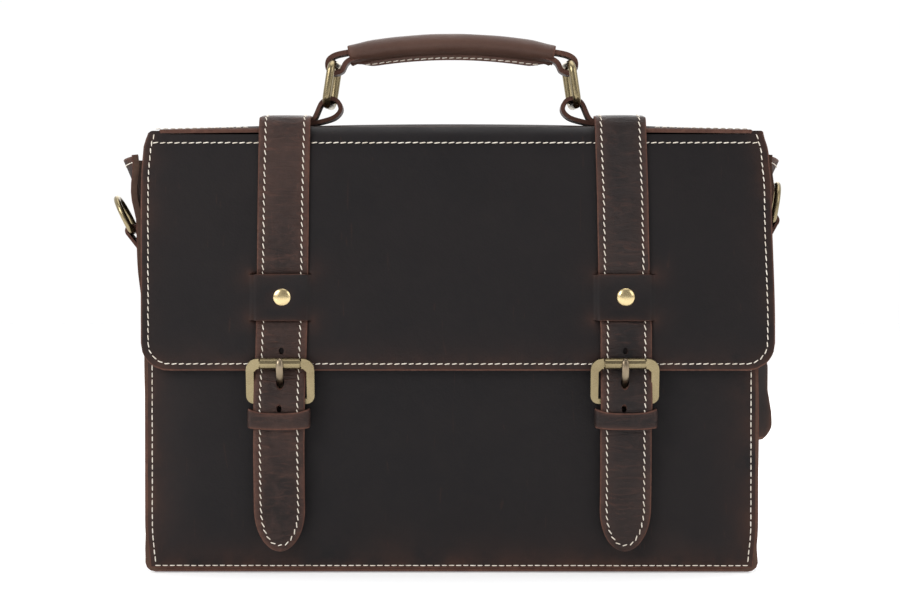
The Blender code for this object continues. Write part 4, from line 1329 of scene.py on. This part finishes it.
def tab_line(bar_x, bar_z):
    """The tab's outer face, for the right side: up the gusset, round the D-ring's bar and back."""
    skin = 0.0004 + TAB_SKIN
    heights = (0.079, 0.0825, 0.090, 0.100, 0.112, 0.125, 0.138, 0.150, 0.163, 0.175, 0.186, 0.195)
    line = [(GUSSET_X + side_bulge(z) + skin, z) for z in heights]
    line += arc((bar_x, bar_z), 0.0025 + TAB_SKIN, range(-45, 181, 15))
    return line + [(GUSSET_X + side_bulge(0.198) + skin, 0.1985)]


def d_ring_tab(side):
    """The strip folded round the D-ring's bar and sewn down the side."""
    sign = SIDES[side]
    loose = side == "right"
    path = densify([(sign * x, 0, z) for x, z in tab_line(abs(D_BAR[side][0]), D_BAR[side][1])], 0.002)
    rows = []
    for point in path:
        half = TAB_HALF * math.sqrt(max(1 - (1 - share(point.z, 0.079, 0.0905)) ** 2, 0.03))
        lift = float(np.interp(point.z, TAB_HEIGHTS, TAB_LIFT)) if loose and point.z < 0.162 else 0.0
        rows.append([point + Vector((sign * lift * (0.06 + 0.5 * (1 + u * half / TAB_HALF)), u * half, 0))
                     for u in (-1, -0.92, -0.8, -0.4, 0, 0.4, 0.8, 0.92, 1)])
    piece = leather_sheet("d_ring_tab_leather_" + side, rows, SIDE, (sign, 0, 0), TAB_SKIN, wear_reach=0.004)
    place(piece, "strap_leather", "body", "d_ring_tab_" + side)
    sewn = [p for p in path if (0.165 if loose else 0.090) < p.z < 0.190 and abs(p.x) < GUSSET_X + 0.02]
    seams = [[(p + Vector((0, y, 0)), (sign, 0, 0)) for p in sewn] for y in (-0.0078, 0.0078)]
    place(stitches("d_ring_tab_stitches_" + side, seams, 0.1, 95 + sign), "strap_leather", "body")


# ---- inside
def lining():
    """The canvas bag inside: a single open-topped cloth box with softly rounded corners."""
    low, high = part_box("lining")
    half_x, half_y = high.x - 0.0004, high.y - 0.0004
    bottom, top = low.z + 0.0006, high.z
    rings = [(z, 1.0, 0.0) for z in np.linspace(top, bottom + 0.006, 28)]
    rings += [(bottom + 0.0025, 1.0, 0.0015), (bottom, 1.0, 0.005), (bottom, 0.85, 0.010),
              (bottom, 0.55, 0.012), (bottom, 0.25, 0.013), (bottom, 0.02, 0.013)]
    bm = bmesh.new()
    loops = []
    for z, scale, inset in rings:
        loop = []
        for x, y in rounded_outline(half_x, half_y, 0.008, 4, 0.008):
            px = (abs(x) - inset) * scale * math.copysign(1, x)
            py = (abs(y) - min(inset, abs(y) * 0.5)) * scale * math.copysign(1, y)
            if z > bottom + 0.02 and abs(abs(y) - half_y) < 0.001:
                slack = 0.0010 * (math.sin(34 * x + 21 * z) * math.sin(40 * z + 1.1) - 1.0)
                py += slack * math.copysign(1, y)
            loop.append(bm.verts.new((px, py, z)))
        loops.append(loop)
    join_rings(bm, loops)
    bm.faces.new(loops[-1])
    piece = from_bmesh(bm, "lining_canvas", [CANVAS])
    shell = piece.modifiers.new("thickness", "SOLIDIFY")
    shell.thickness = 0.0006
    shell.offset = 1.0
    settle(piece)
    place(piece, "lining_cloth", "body", "lining")


def divider():
    """The canvas-covered divider, slightly quilted over its board."""
    low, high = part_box("divider")
    middle, half = (low + high) / 2, (high - low) / 2
    bm = bmesh.new()
    count_x, count_z = 48, 28
    for face in (-1, 1):
        rows = []
        for i in range(count_z + 1):
            row = []
            for j in range(count_x + 1):
                x = low.x + (high.x - low.x) * j / count_x
                z = low.z + (high.z - low.z) * i / count_z
                edge = min(x - low.x, high.x - x, z - low.z, high.z - z)
                swell = half.y * (0.45 + 0.55 * smoothstep(edge, 0.0, 0.006))
                row.append(bm.verts.new((x, middle.y + face * swell, z)))
            rows.append(row)
        join_rings(bm, rows, closed=False)
    bmesh.ops.bridge_loops(bm, edges=[edge for edge in bm.edges if edge.is_boundary])
    piece = from_bmesh(bm, "divider_canvas", [CANVAS])
    place(piece, "lining_cloth", "body", "divider")


# ---- build
def give(name, mat):
    """Put a material on a piece of the frame that is shown as it is."""
    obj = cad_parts[name]
    obj.data.materials.clear()
    obj.data.materials.append(mat)
    return obj


def soften(obj):
    """Round a shown piece's edges."""
    edge = obj.modifiers.new("edges", "BEVEL")
    edge.width = 0.0005
    edge.segments = 3
    edge.limit_method = "ANGLE"
    edge.angle_limit = math.radians(35)


def build():
    for make in (front_panel, gusset, back_and_top, flap, flap_stitches, handle_cover, handle_loops, lining,
                 divider):
        make()
    for side in SIDES:
        for make in (strap_over_back, strap_over_front, strap_tongue, keeper, handle_ring, d_ring,
                     d_ring_tab, prong, rivet_cap):
            make(side)
        for name, mat in (("buckle_frame_", BRASS), ("roller_", BRASS), ("rivet_base_", BRIGHT),
                          ("snap_socket_", BRIGHT), ("snap_stud_", BRIGHT)):
            give(name + side, mat)
        soften(give("chape_" + side, STRAP_LEATHER[side]))
    for name in ("base_board", "top_stiffener", "handle_core"):
        give(name, BOARD)


def look():
    """The photo's standpoint: level, nearly square to the front, from a little to the left."""
    data = bpy.data.cameras.new("camera")
    data.lens = 98.0
    data.sensor_width = 36.0
    camera = bpy.data.objects.new("camera", data)
    bpy.context.scene.collection.objects.link(camera)
    camera.location = (0.004, -1.55, 0.182)
    target = Vector((-0.0009, -0.05, 0.1678))
    camera.rotation_euler = (target - camera.location).to_track_quat("-Z", "Y").to_euler()
    bpy.context.scene.camera = camera


def floor():
    mat, tree, shader = new_material("studio_floor")
    shader.inputs["Base Color"].default_value = (0.90, 0.90, 0.90, 1)
    shader.inputs["Roughness"].default_value = 0.6
    shader.inputs["Emission Color"].default_value = (1, 1, 1, 1)
    shader.inputs["Emission Strength"].default_value = 0.30
    bpy.ops.mesh.primitive_plane_add(size=12, location=(0, 2.0, -0.0002))
    ground = bpy.context.object
    ground.name = "floor"
    ground.data.materials.append(mat)


def surroundings():
    """White behind the bag and grey behind the camera, so that the metal has something to reflect."""
    world = bpy.data.worlds.new("studio")
    bpy.context.scene.world = world
    world.use_nodes = True
    tree = world.node_tree
    background = tree.nodes["Background"]
    split = node(tree, "ShaderNodeSeparateXYZ")
    tree.links.new(node(tree, "ShaderNodeTexCoord").outputs["Generated"], split.inputs[0])
    depth = ramp(tree, split.outputs["Y"], -0.55, 0.25)
    shade = mix_colour(tree, depth, (0.34, 0.34, 0.35), (1.0, 1.0, 1.0))
    tree.links.new(shade, background.inputs["Color"])
    background.inputs["Strength"].default_value = 1.02
    bpy.context.scene.view_settings.view_transform = "Standard"


# (name, place, size, power) of the soft lights, all turned to the middle of the bag.
LIGHTS = (("key", (-1.5, -1.5, 1.3), 1.2, 30), ("fill", (1.8, -1.2, 1.2), 1.4, 12),
          ("top", (0.2, 0.2, 2.2), 1.8, 18), ("rim", (0.0, 2.0, 1.4), 1.8, 14))


def lights():
    for name, location, size, power in LIGHTS:
        data = bpy.data.lights.new(name, "AREA")
        data.energy = power
        data.size = size
        lamp = bpy.data.objects.new(name, data)
        bpy.context.scene.collection.objects.link(lamp)
        lamp.location = location
        lamp.rotation_euler = (Vector((0, 0, 0.15)) - lamp.location).to_track_quat("-Z", "Y").to_euler()


build()
look()
floor()
surroundings()
lights()
